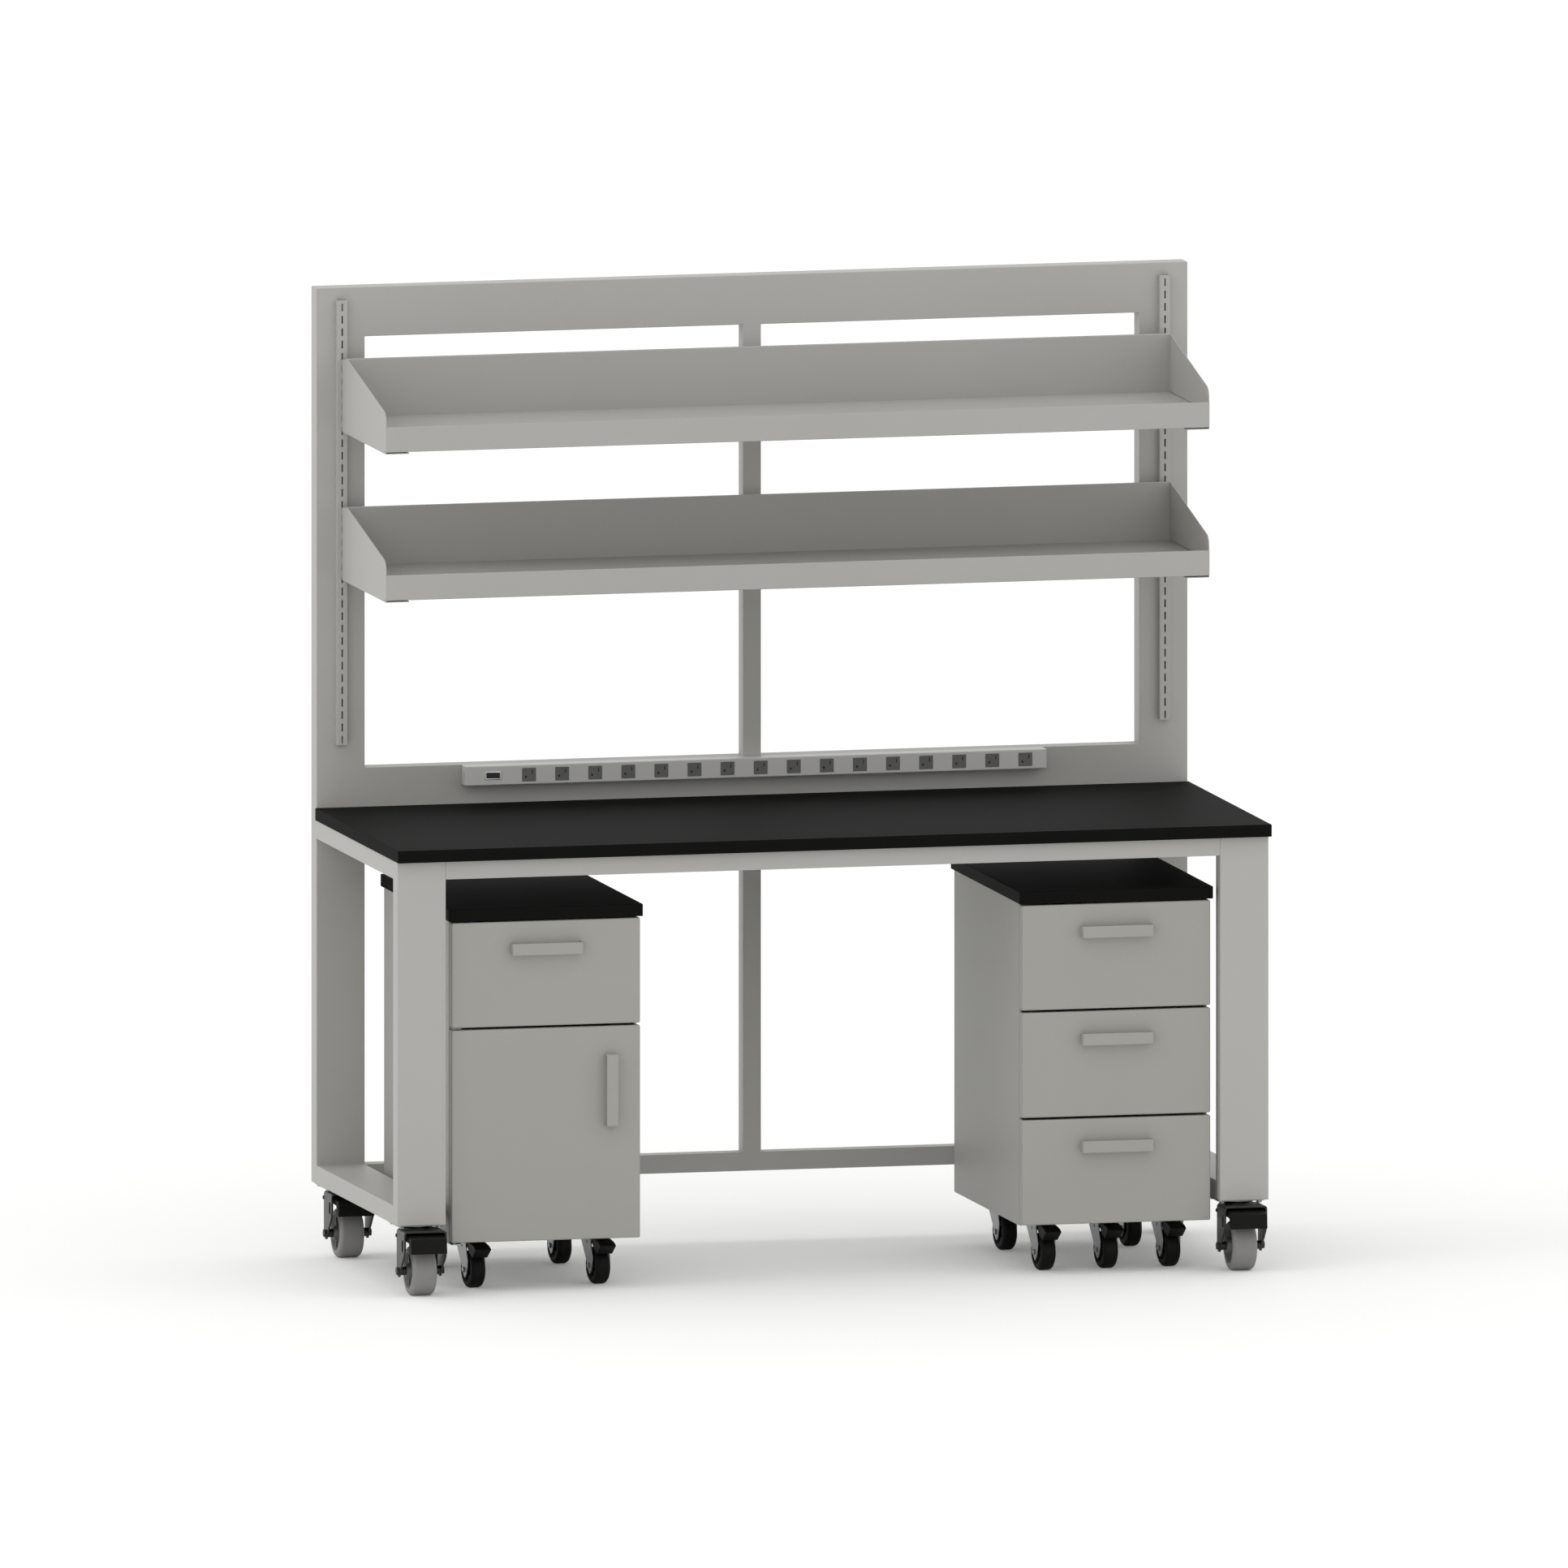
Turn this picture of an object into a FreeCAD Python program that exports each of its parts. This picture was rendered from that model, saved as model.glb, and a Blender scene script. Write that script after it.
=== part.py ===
"""Mobile laboratory bench: rear frame with two reagent shelves, power rail, worktop, two pedestals, casters.

Sizes are in millimetres. X runs across the bench, the front faces -Y and Z goes up from the floor.
While building, Y = 0 is the front plane of the rear frame; save() moves every piece so that the
bounding box is centred on the origin.
"""
import FreeCAD, Part
import math
import os
from FreeCAD import Vector

# Bench frame
BENCH_WIDTH = 1828.8
BENCH_HEIGHT = 1988.0
FRAME_DEPTH = 44.45
POST_WIDTH = 101.6
RAIL_HEIGHT = 101.6
SMALL_TUBE = 38.1
TUBE_WALL = 2.0
TUBE_RADIUS = 3.0
LEG_REACH = 700.0
MID_RAIL_TOP = 999.5

# Worktop
WORKTOP_TOP = 919.5
WORKTOP_THICKNESS = 25.4
WORKTOP_OVERHANG_SIDE = 2.9
WORKTOP_OVERHANG_FRONT = 17.5
WORKTOP_EDGE = 1.5

# Slotted shelf standards
STANDARD_WIDTH = 21.6
STANDARD_DEPTH = 15.0
STANDARD_LENGTH = 914.4
STANDARD_BOTTOM = 1049.0
STANDARD_WALL = 2.0
SLOT_PITCH = 25.4
SLOT_LENGTH = 16.3
SLOT_WIDTH = 3.0
SLOT_COUNT = 36
FIRST_SLOT_DROP = 6.2

# Shelves
SHELF_SHEET = 1.5
BRACKET_SHEET = 1.8
UPPER_SHELF_SLOT_COUNT = 9
LOWER_SHELF_SLOT_COUNT = 21
HOOK_SLOT_COUNT = 4
HOOK_RISE = 18.7
SHELF_REAR_GAP = 1.0
SHELF_DEPTH = 380.0
SHELF_SIDE_HEIGHT = 155.0
SHELF_BACK_INSET = 44.0
SHELF_SIDE_SLOPE = 12.1
SHELF_CORNER_RADIUS = 24.0
SHELF_DECK = 36.0
SHELF_LIP_TOP = 56.0
SHELF_LIP_BOTTOM = 4.0
BRACKET_FLANGE = 48.0

# Power rail
POWER_RAIL_WIDTH = 1219.2
POWER_RAIL_HEIGHT = 40.0
POWER_RAIL_DEPTH = 36.0
POWER_RAIL_WALL = 2.0
POWER_RAIL_RADIUS = 5.0
OUTLET_COUNT = 16
OUTLET_PITCH = 69.47
OUTLET_LAST_X = 565.2
OUTLET_WIDTH = 29.3
OUTLET_HEIGHT = 28.0
OUTLET_DEPTH = 14.0
OUTLET_FIT = 0.15
SWITCH_X = -552.6
SWITCH_WIDTH = 33.6
SWITCH_HEIGHT = 16.4
SWITCH_BEZEL = 2.6
SWITCH_CLEARANCE = 1.0
SWITCH_PIVOT = 2.0
SWITCH_PIN_RADIUS = 1.2
SWITCH_PIN_END = 1.2

# Bench casters
CASTER_INSET = 53.4
FRONT_PIVOT_REACH = 640.0
REAR_PIVOT_REACH = 11.0
BENCH_CASTER_HEIGHT = 146.0
BENCH_WHEEL_RADIUS = 50.8
BENCH_WHEEL_WIDTH = 50.8
BENCH_TRAIL = 35.0
BENCH_PEDAL_REACH = 117.0

# Pedestal casters
SMALL_CASTER_HEIGHT = 102.5
SMALL_WHEEL_RADIUS = 38.1
SMALL_WHEEL_WIDTH = 31.0
SMALL_TRAIL = 34.0
SMALL_PEDAL_REACH = 98.0
SMALL_PARKED_ANGLE = 6.0

# Pedestals
PEDESTAL_GAP = 16.3
PANEL_WIDTH = 396.0
PANEL_FRONT = 680.0
PANEL_THICKNESS = 20.0
PANEL_GAP = 4.8
PANEL_BOTTOM = 105.6
PANEL_TOP = 763.5
PANEL_SHEET = 1.5
PANEL_EDGE = 3.0
CARCASS_SHEET = 1.5
CARCASS_INSET = 1.0
CARCASS_RETURN = 6.0
CARCASS_FRONT_GAP = 4.5
CARCASS_BACK = 95.0
TOP_GAP = 3.0
TOP_THICKNESS = 25.4
TOP_WIDTH = 406.4
TOP_OVERHANG = 6.0
FRONT_CASTER_ROW = 545.0
REAR_CASTER_ROW = 212.0
CASTER_ROW_HALF = 131.0
DRAWER_COUNT = 3
DRAWER_BOX_DEPTH = 520.0
DRAWER_SHEET = 1.2
DRAWER_BOX_TOP_DROP = 30.0
DRAWER_BOX_BOTTOM_RISE = 14.0
RUNNER_SPACE = 12.8
RUNNER_HEIGHT = 35.0
RUNNER_LENGTH = 500.0
RUNNER_SHEET = 1.4
RUNNER_CLEARANCE = 0.25
HANDLE_LENGTH = 150.0
HANDLE_WIDTH = 24.0
HANDLE_STANDOFF = 22.0
HANDLE_SHEET = 4.0
HANDLE_DROP = 44.0
DOOR_HANDLE_DROP = 56.0
DOOR_HANDLE_INSET = 62.9
HINGE_INSET = 8.0
HINGE_PIN_RADIUS = 3.0
HINGE_LEAF = 2.0
HINGE_LEAF_WIDTH = 22.0
HINGE_LEAF_TAIL = 24.0

# Fits
RUNNING_FIT = 0.05
AIR_GAP = 0.3

# Derived places
HALF_WIDTH = BENCH_WIDTH / 2
POST_INNER = HALF_WIDTH - POST_WIDTH
LEG_BACK = LEG_REACH - SMALL_TUBE
WORKTOP_BOTTOM = WORKTOP_TOP - WORKTOP_THICKNESS
FRAME_BOTTOM = BENCH_CASTER_HEIGHT
STANDARD_X = HALF_WIDTH - POST_WIDTH / 2
STANDARD_TOP = STANDARD_BOTTOM + STANDARD_LENGTH
SHELF_REAR = STANDARD_DEPTH + SHELF_REAR_GAP
SHELF_FRONT = SHELF_REAR + SHELF_DEPTH
SHELF_BACK_Y = SHELF_REAR + SHELF_BACK_INSET
BRACKET_OUTER = STANDARD_X + BRACKET_SHEET / 2
BRACKET_INNER = STANDARD_X - BRACKET_SHEET / 2
BENCH_PIVOT_X = HALF_WIDTH - CASTER_INSET
PEDESTAL_X = POST_INNER - PEDESTAL_GAP - PANEL_WIDTH / 2
PANEL_HALF = PANEL_WIDTH / 2
PANEL_BACK = PANEL_FRONT - PANEL_THICKNESS
CARCASS_HALF = PANEL_HALF - CARCASS_INSET
CARCASS_CLEAR = CARCASS_HALF - CARCASS_SHEET
CARCASS_FRONT = PANEL_BACK - CARCASS_FRONT_GAP
CARCASS_BOTTOM = SMALL_CASTER_HEIGHT
CARCASS_TOP = PANEL_TOP + TOP_GAP
PANEL_HEIGHT = (PANEL_TOP - PANEL_BOTTOM - (DRAWER_COUNT - 1) * PANEL_GAP) / DRAWER_COUNT
BOX_HALF = CARCASS_CLEAR - RUNNER_SPACE
DOOR_TOP = PANEL_TOP - PANEL_HEIGHT - PANEL_GAP
POWER_RAIL_BOTTOM = MID_RAIL_TOP - POWER_RAIL_HEIGHT
POWER_RAIL_MID = MID_RAIL_TOP - POWER_RAIL_HEIGHT / 2
FRONT_LIMIT = max(FRONT_PIVOT_REACH + BENCH_PEDAL_REACH, LEG_REACH + WORKTOP_OVERHANG_FRONT)
SHIFT_Y = (FRONT_LIMIT - FRAME_DEPTH) / 2


class Caster:
    """Sizes of one kind of caster: swivel axis at X = Y = 0, floor at Z = 0, wheel trailing to -Y."""

    def __init__(self, **sizes):
        self.__dict__.update(sizes)
        self.crown_bottom = self.crown_top - self.crown
        self.cheek_inner = self.fork_half - self.cheek
        self.head_top = self.crown_bottom - AIR_GAP


BENCH_CASTER = Caster(
    height=BENCH_CASTER_HEIGHT, wheel_radius=BENCH_WHEEL_RADIUS, wheel_width=BENCH_WHEEL_WIDTH,
    trail=BENCH_TRAIL, plate_width=98.0, plate_depth=96.0, plate=3.2, race_radius=27.0,
    crown_top=BENCH_CASTER_HEIGHT - 9.0, crown=4.0, crown_radius=34.0, fork_half=45.0, cheek=4.0,
    cheek_outline=((-18, -4), (-18, -82), (-24, -98), (-35, -100), (-46, -84), (-61, -70),
                   (-80, -50), (-84, -38), (-84, -4)),
    bend=7.0, hole_y=-69.0, hole_top=-18.0, hole_width=13.0, hole_length=26.0,
    king_radius=6.0, king_head=11.0, king_head_height=3.0, axle_radius=5.0, spacer_radius=9.0,
    hub_half=30.0, boss_radius=14.0, rim_radius=36.0, web_half=19.0, tread_round=9.0,
    nut_radius=8.5, nut_height=5.0, pedal_pivot_y=-16.0, pedal_pivot_z=122.0, pedal_pin_radius=4.0,
    bolt_radius=6.0, bolt_x=39.0, bolt_y=38.0)

SMALL_CASTER = Caster(
    height=SMALL_CASTER_HEIGHT, wheel_radius=SMALL_WHEEL_RADIUS, wheel_width=SMALL_WHEEL_WIDTH,
    trail=SMALL_TRAIL, plate_width=62.0, plate_depth=62.0, plate=2.5, race_radius=21.0,
    crown_top=SMALL_CASTER_HEIGHT - 7.5, crown=3.0, crown_radius=24.0, fork_half=20.0, cheek=2.5,
    cheek_outline=((12, -3), (12, -10), (-14, -42), (-28, -66), (-38, -76), (-47, -66),
                   (-52, -52), (-54, -38), (-44, -3)),
    bend=4.0, hole_length=0.0,
    king_radius=4.0, king_head=8.0, king_head_height=2.5, axle_radius=4.0, spacer_radius=6.0,
    hub_half=16.5, boss_radius=10.0, rim_radius=26.0, web_half=10.0, tread_round=8.0,
    nut_radius=6.0, nut_height=3.5, pedal_pivot_y=-20.0, pedal_pivot_z=85.5, pedal_pin_radius=2.5)


def box(x0, x1, y0, y1, z0, z1):
    """Block between two corners."""
    return Part.makeBox(x1 - x0, y1 - y0, z1 - z0, Vector(x0, y0, z0))


def face_of(points):
    """Flat face inside a closed outline of 3-D points."""
    corners = [Vector(*point) for point in points]
    return Part.Face(Part.makePolygon(corners + corners[:1]))


def prism_x(outline, x0, x1):
    """Side outline (Y, Z) drawn out along X."""
    return face_of([(x0, y, z) for y, z in outline]).extrude(Vector(x1 - x0, 0, 0))


def prism_z(outline, z0, z1):
    """Plan outline (X, Y) drawn out along Z."""
    return face_of([(x, y, z0) for x, y in outline]).extrude(Vector(0, 0, z1 - z0))


def lathe_x(outline, y, z):
    """Outline (X, radius) turned about the line parallel to X through (y, z)."""
    face = face_of([(x, y, z + radius) for x, radius in outline])
    return face.revolve(Vector(0, y, z), Vector(1, 0, 0), 360)


def lathe_z(outline, x=0.0, y=0.0):
    """Outline (radius, Z) turned about the vertical line through (x, y)."""
    face = face_of([(x + radius, y, z) for radius, z in outline])
    return face.revolve(Vector(x, y, 0), Vector(0, 0, 1), 360)


def folded(path, thickness, draw):
    """Sheet of even thickness folded along a flat path of 3-D points, drawn out by a vector."""
    wire = Part.makePolygon([Vector(*point) for point in path])
    section = wire.makeOffset2D(thickness, join=0, fill=True, openResult=True)
    return section.extrude(Vector(*draw))


def straight_along(shape, axis):
    """Straight edges of a shape that run along one axis."""
    found = []
    for edge in shape.Edges:
        if edge.Curve.TypeId != "Part::GeomLine":
            continue
        along = edge.Vertexes[-1].Point.sub(edge.Vertexes[0].Point).normalize()
        if abs(along.dot(Vector(*axis))) > 0.999:
            found.append(edge)
    return found


def round_along(shape, axis, radius, keep=None):
    """Round the straight edges along one axis, or only those whose middle passes the test."""
    edges = straight_along(shape, axis)
    if keep is not None:
        edges = [edge for edge in edges if keep(edge.CenterOfMass)]
    return shape.makeFillet(radius, edges)


def tube(x0, x1, y0, y1, z0, z1, axis, capped=False):
    """Rectangular steel tube with round corners; a capped tube is closed at its upper end."""
    outer = round_along(box(x0, x1, y0, y1, z0, z1), axis, TUBE_RADIUS)
    inset = [TUBE_WALL * (1 - abs(part)) for part in axis]
    cap = TUBE_WALL if capped else 0.0
    bore = box(x0 + inset[0], x1 - inset[0], y0 + inset[1], y1 - inset[1], z0 + inset[2], z1 - inset[2] - cap)
    return outer.cut(round_along(bore, axis, TUBE_RADIUS - TUBE_WALL))


def mirrored(shape):
    """The same piece on the other side of the bench."""
    return shape.mirror(Vector(0, 0, 0), Vector(1, 0, 0))


def hexagon(radius, z0, z1, x, y):
    """Upright hexagonal bolt head."""
    corners = [math.radians(60 * step) for step in range(6)]
    return prism_z([(x + radius * math.cos(a), y + radius * math.sin(a)) for a in corners], z0, z1)


# Bench frame

def rear_frame():
    """Two posts, a centre post in two lengths, and top, middle and bottom rails."""
    post = tube(POST_INNER, HALF_WIDTH, 0, FRAME_DEPTH, FRAME_BOTTOM, BENCH_HEIGHT, (0, 0, 1), True)
    rail_tops = [BENCH_HEIGHT, MID_RAIL_TOP]
    rails = [tube(-POST_INNER, POST_INNER, 0, FRAME_DEPTH, top - RAIL_HEIGHT, top, (1, 0, 0))
             for top in rail_tops]
    low_top = FRAME_BOTTOM + SMALL_TUBE
    rails.append(tube(-POST_INNER, POST_INNER, 0, SMALL_TUBE, FRAME_BOTTOM, low_top, (1, 0, 0)))
    half = SMALL_TUBE / 2
    spans = [(MID_RAIL_TOP, BENCH_HEIGHT - RAIL_HEIGHT), (low_top, MID_RAIL_TOP - RAIL_HEIGHT)]
    centre = [tube(-half, half, 0, SMALL_TUBE, low, high, (0, 0, 1)) for low, high in spans]
    return [post, mirrored(post)] + rails + centre


def base_frame():
    """Front legs and rail under the worktop, with upper and lower side rails back to the posts."""
    leg = tube(POST_INNER, HALF_WIDTH, -LEG_REACH, -LEG_BACK, FRAME_BOTTOM, WORKTOP_BOTTOM, (0, 0, 1), True)
    rail_bottom = WORKTOP_BOTTOM - SMALL_TUBE
    front = tube(-POST_INNER, POST_INNER, -LEG_REACH, -LEG_BACK, rail_bottom, WORKTOP_BOTTOM, (1, 0, 0))
    upper = tube(HALF_WIDTH - SMALL_TUBE, HALF_WIDTH, -LEG_BACK, 0, rail_bottom, WORKTOP_BOTTOM, (0, 1, 0))
    lower = tube(POST_INNER, HALF_WIDTH, -LEG_BACK, 0, FRAME_BOTTOM, FRAME_BOTTOM + SMALL_TUBE, (0, 1, 0))
    sides = [leg, upper, lower]
    return [front] + sides + [mirrored(piece) for piece in sides]


def worktop():
    """Flat slab with softened edges."""
    half = HALF_WIDTH + WORKTOP_OVERHANG_SIDE
    slab = box(-half, half, -LEG_REACH - WORKTOP_OVERHANG_FRONT, 0, WORKTOP_BOTTOM, WORKTOP_TOP)
    front = -LEG_REACH - WORKTOP_OVERHANG_FRONT
    return [round_along(slab, (1, 0, 0), WORKTOP_EDGE, lambda middle: middle.y < front + 1)]


# Shelf standards, shelves and their fasteners

def slot_bottom(index):
    """Height of the bottom of one slot, counted from the top."""
    return STANDARD_TOP - FIRST_SLOT_DROP - SLOT_LENGTH - index * SLOT_PITCH


def standard():
    """Right-hand channel with a column of slots down its front."""
    half = STANDARD_WIDTH / 2
    left = STANDARD_X - half
    right = STANDARD_X + half
    path = [(left, 0), (left, -STANDARD_DEPTH), (right, -STANDARD_DEPTH), (right, 0)]
    channel = folded([(x, y, STANDARD_BOTTOM) for x, y in path], -STANDARD_WALL, (0, 0, STANDARD_LENGTH))
    edge = SLOT_WIDTH / 2
    front = -STANDARD_DEPTH - 1
    slots = [box(STANDARD_X - edge, STANDARD_X + edge, front, front + STANDARD_WALL + 2,
                 slot_bottom(index), slot_bottom(index) + SLOT_LENGTH) for index in range(SLOT_COUNT)]
    return channel.cut(slots)


def shelf_standards():
    """The two slotted standards."""
    right = standard()
    return [right, mirrored(right)]


def plate_bolts(x, y):
    """Four hex heads under one bench caster plate."""
    kind = BENCH_CASTER
    top = kind.height - kind.plate
    return [hexagon(kind.bolt_radius, top - 4.5, top, x + side * kind.bolt_x, y + end * kind.bolt_y)
            for side in (-1, 1) for end in (-1, 1)]


def frame_fasteners():
    """Worktop screws under the side rails and bolts of the caster plates."""
    rail_x = HALF_WIDTH - SMALL_TUBE / 2
    rail_bottom = WORKTOP_BOTTOM - SMALL_TUBE
    right = [hexagon(5.0, rail_bottom - 4.0, rail_bottom, rail_x, -LEG_BACK * part) for part in (0.2, 0.8)]
    right += plate_bolts(BENCH_PIVOT_X, -FRONT_PIVOT_REACH)
    right += plate_bolts(BENCH_PIVOT_X, -REAR_PIVOT_REACH)
    return right + [mirrored(piece) for piece in right]


def shelf_bottom(slot):
    """Height of a shelf whose lower hooks sit in the given slot."""
    return slot_bottom(slot) - HOOK_RISE


def bracket(z):
    """Right-hand end bracket: sloped side plate, inward flange at the bottom and two hooks."""
    drop = (SHELF_FRONT - SHELF_SHEET - SHELF_BACK_Y) * math.tan(math.radians(SHELF_SIDE_SLOPE))
    front = -SHELF_FRONT + SHELF_SHEET
    outline = [(-SHELF_REAR, z), (front, z), (front, z + SHELF_SIDE_HEIGHT - drop),
               (-SHELF_BACK_Y, z + SHELF_SIDE_HEIGHT), (-SHELF_REAR, z + SHELF_SIDE_HEIGHT)]
    plate = prism_x(outline, BRACKET_INNER, BRACKET_OUTER)
    plate = round_along(plate, (1, 0, 0), SHELF_CORNER_RADIUS,
                        lambda middle: middle.y < front + 0.1 and middle.z > z + SHELF_DECK)
    flange = box(BRACKET_INNER - BRACKET_FLANGE, BRACKET_INNER, front, -SHELF_REAR, z, z + BRACKET_SHEET)
    return plate.fuse([flange] + [hook(z + HOOK_RISE + step * SLOT_PITCH) for step in (0, HOOK_SLOT_COUNT)])


def hook(z):
    """Tab that enters a slot, rests on its bottom edge and drops behind the front wall."""
    inside = -STANDARD_DEPTH + STANDARD_WALL
    outline = [(-SHELF_REAR, z), (inside + 0.5, z), (inside + 0.5, z - 6), (inside + 4, z - 5),
               (inside + 4, z + 6), (inside + 1, z + 9), (-SHELF_REAR, z + 9)]
    return prism_x(outline, BRACKET_INNER, BRACKET_OUTER)


def shelf_brackets(slot):
    """Both end brackets of one shelf."""
    right = bracket(shelf_bottom(slot))
    return [right, mirrored(right)]


def shelf_tray(slot):
    """Folded tray: hemmed back, deck, doubled front lip with a return, and end flanges on the brackets."""
    z = shelf_bottom(slot)
    deck = z + SHELF_DECK
    lip_back = -SHELF_FRONT + SHELF_SHEET
    path = [(-SHELF_BACK_Y + 9, z + SHELF_SIDE_HEIGHT), (-SHELF_BACK_Y, z + SHELF_SIDE_HEIGHT),
            (-SHELF_BACK_Y, deck), (lip_back + SHELF_SHEET, deck),
            (lip_back + SHELF_SHEET, z + SHELF_LIP_TOP)]
    main = folded([(-BRACKET_INNER, y, h) for y, h in path], -SHELF_SHEET, (2 * BRACKET_INNER, 0, 0))
    low = z + SHELF_LIP_BOTTOM
    path = [(-SHELF_FRONT + 13, low), (-SHELF_FRONT, low), (-SHELF_FRONT, z + SHELF_LIP_TOP)]
    lip = folded([(-BRACKET_OUTER, y, h) for y, h in path], SHELF_SHEET, (2 * BRACKET_OUTER, 0, 0))
    bottom = z + BRACKET_SHEET
    end = box(BRACKET_INNER - SHELF_SHEET, BRACKET_INNER, lip_back + 14, -SHELF_BACK_Y - 1, bottom, deck)
    corner = box(BRACKET_INNER - 0.5, BRACKET_OUTER, lip_back, lip_back + 14, low - 1, low + SHELF_SHEET + 1)
    relief = [corner, mirrored(corner)]
    return [main.fuse([lip.cut(relief), end, mirrored(end)]).removeSplitter()]


# Power rail

def outlet_x():
    """Centres of the outlets, from left to right."""
    return [OUTLET_LAST_X - OUTLET_PITCH * (OUTLET_COUNT - 1 - index) for index in range(OUTLET_COUNT)]


def power_rail_housing():
    """Channel with closed ends and a row of openings, and the bezel around the switch."""
    half = POWER_RAIL_WIDTH / 2
    body = box(-half, half, -POWER_RAIL_DEPTH, 0, POWER_RAIL_BOTTOM, MID_RAIL_TOP)
    body = round_along(body, (1, 0, 0), POWER_RAIL_RADIUS, lambda middle: middle.y < -POWER_RAIL_DEPTH + 1)
    wall = POWER_RAIL_WALL
    bore = box(-half + wall, half - wall, -POWER_RAIL_DEPTH + wall, 0,
               POWER_RAIL_BOTTOM + wall, MID_RAIL_TOP - wall)
    bore = round_along(bore, (1, 0, 0), POWER_RAIL_RADIUS - wall,
                       lambda middle: middle.y < -POWER_RAIL_DEPTH + wall + 1)
    wide = OUTLET_WIDTH / 2 + OUTLET_FIT
    high = OUTLET_HEIGHT / 2 + OUTLET_FIT
    holes = [window(x, wide, high) for x in outlet_x()]
    holes.append(window(SWITCH_X, SWITCH_WIDTH / 2 - 1.2, SWITCH_HEIGHT / 2 - 1.2))
    outer = box(SWITCH_X - SWITCH_WIDTH / 2, SWITCH_X + SWITCH_WIDTH / 2,
                -POWER_RAIL_DEPTH - 1.6, -POWER_RAIL_DEPTH,
                POWER_RAIL_MID - SWITCH_HEIGHT / 2, POWER_RAIL_MID + SWITCH_HEIGHT / 2)
    outer = round_along(outer, (0, 1, 0), 2.0)
    bezel = outer.cut(window(SWITCH_X, SWITCH_WIDTH / 2 - SWITCH_BEZEL, SWITCH_HEIGHT / 2 - SWITCH_BEZEL))
    return [body.cut([bore] + holes), bezel]


def window(x, half_width, half_height):
    """Cutter through the front of the power rail."""
    return box(x - half_width, x + half_width, -POWER_RAIL_DEPTH - 3, -POWER_RAIL_DEPTH + POWER_RAIL_WALL + 1,
               POWER_RAIL_MID - half_height, POWER_RAIL_MID + half_height)


def outlet(x):
    """Outlet insert with an earth hole and two blade slots."""
    front = -POWER_RAIL_DEPTH - 0.6
    left = x - OUTLET_WIDTH / 2
    top = POWER_RAIL_MID + OUTLET_HEIGHT / 2
    body = box(left, left + OUTLET_WIDTH, front, front + OUTLET_DEPTH, top - OUTLET_HEIGHT, top)
    body = round_along(body, (0, 1, 0), 1.5)
    centre = Vector(left + 0.28 * OUTLET_WIDTH, front - 1, top - 0.66 * OUTLET_HEIGHT)
    earth = Part.makeCylinder(2.4, 6, centre, Vector(0, 1, 0))
    slot_x = left + 0.745 * OUTLET_WIDTH
    slot_z = top - 0.30 * OUTLET_HEIGHT
    live = box(slot_x - 1.1, slot_x + 1.1, front - 1, front + 5, slot_z - 4, slot_z + 4)
    neutral_x = left + 0.30 * OUTLET_WIDTH
    neutral = box(neutral_x - 3.6, neutral_x + 3.6, front - 1, front + 5, slot_z + 2.4, slot_z + 4.4)
    return body.cut([earth, live, neutral])


def power_outlets():
    """The row of outlets."""
    return [outlet(x) for x in outlet_x()]


def power_switch():
    """Rocker with two shallow slopes, tilting on the two short pins above and below its middle."""
    half = SWITCH_WIDTH / 2 - SWITCH_BEZEL - SWITCH_CLEARANCE
    high = SWITCH_HEIGHT / 2 - SWITCH_BEZEL - AIR_GAP
    face = -POWER_RAIL_DEPTH
    outline = [(-half, face - 0.6), (0, face - 1.2), (half, face - 3.4), (half, face - 0.2), (4, face + 8),
               (-4, face + 8), (-half, face + 1.4)]
    rocker = prism_z([(SWITCH_X + x, y) for x, y in outline], POWER_RAIL_MID - high, POWER_RAIL_MID + high)
    reach = high + SWITCH_PIN_END
    pins = Part.makeCylinder(SWITCH_PIN_RADIUS, 2 * reach,
                             Vector(SWITCH_X, face + SWITCH_PIVOT, POWER_RAIL_MID - reach))
    return [rocker.fuse(pins)]


# Casters

def caster_plate(kind):
    """Mounting plate with its bearing race and the kingpin whose head carries the fork."""
    low = kind.height - kind.plate
    half_w = kind.plate_width / 2
    half_d = kind.plate_depth / 2
    plate = round_along(box(-half_w, half_w, -half_d, half_d, low, kind.height), (0, 0, 1), 8.0)
    pin = kind.king_radius
    head = kind.king_head
    bottom = kind.head_top - kind.king_head_height
    race = lathe_z([(0, low), (kind.race_radius, low), (kind.race_radius - 2, kind.crown_top + AIR_GAP),
                    (pin, kind.crown_top + AIR_GAP), (pin, kind.head_top), (head, kind.head_top),
                    (head - 1.5, bottom), (0, bottom)])
    return plate.fuse(race)


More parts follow.
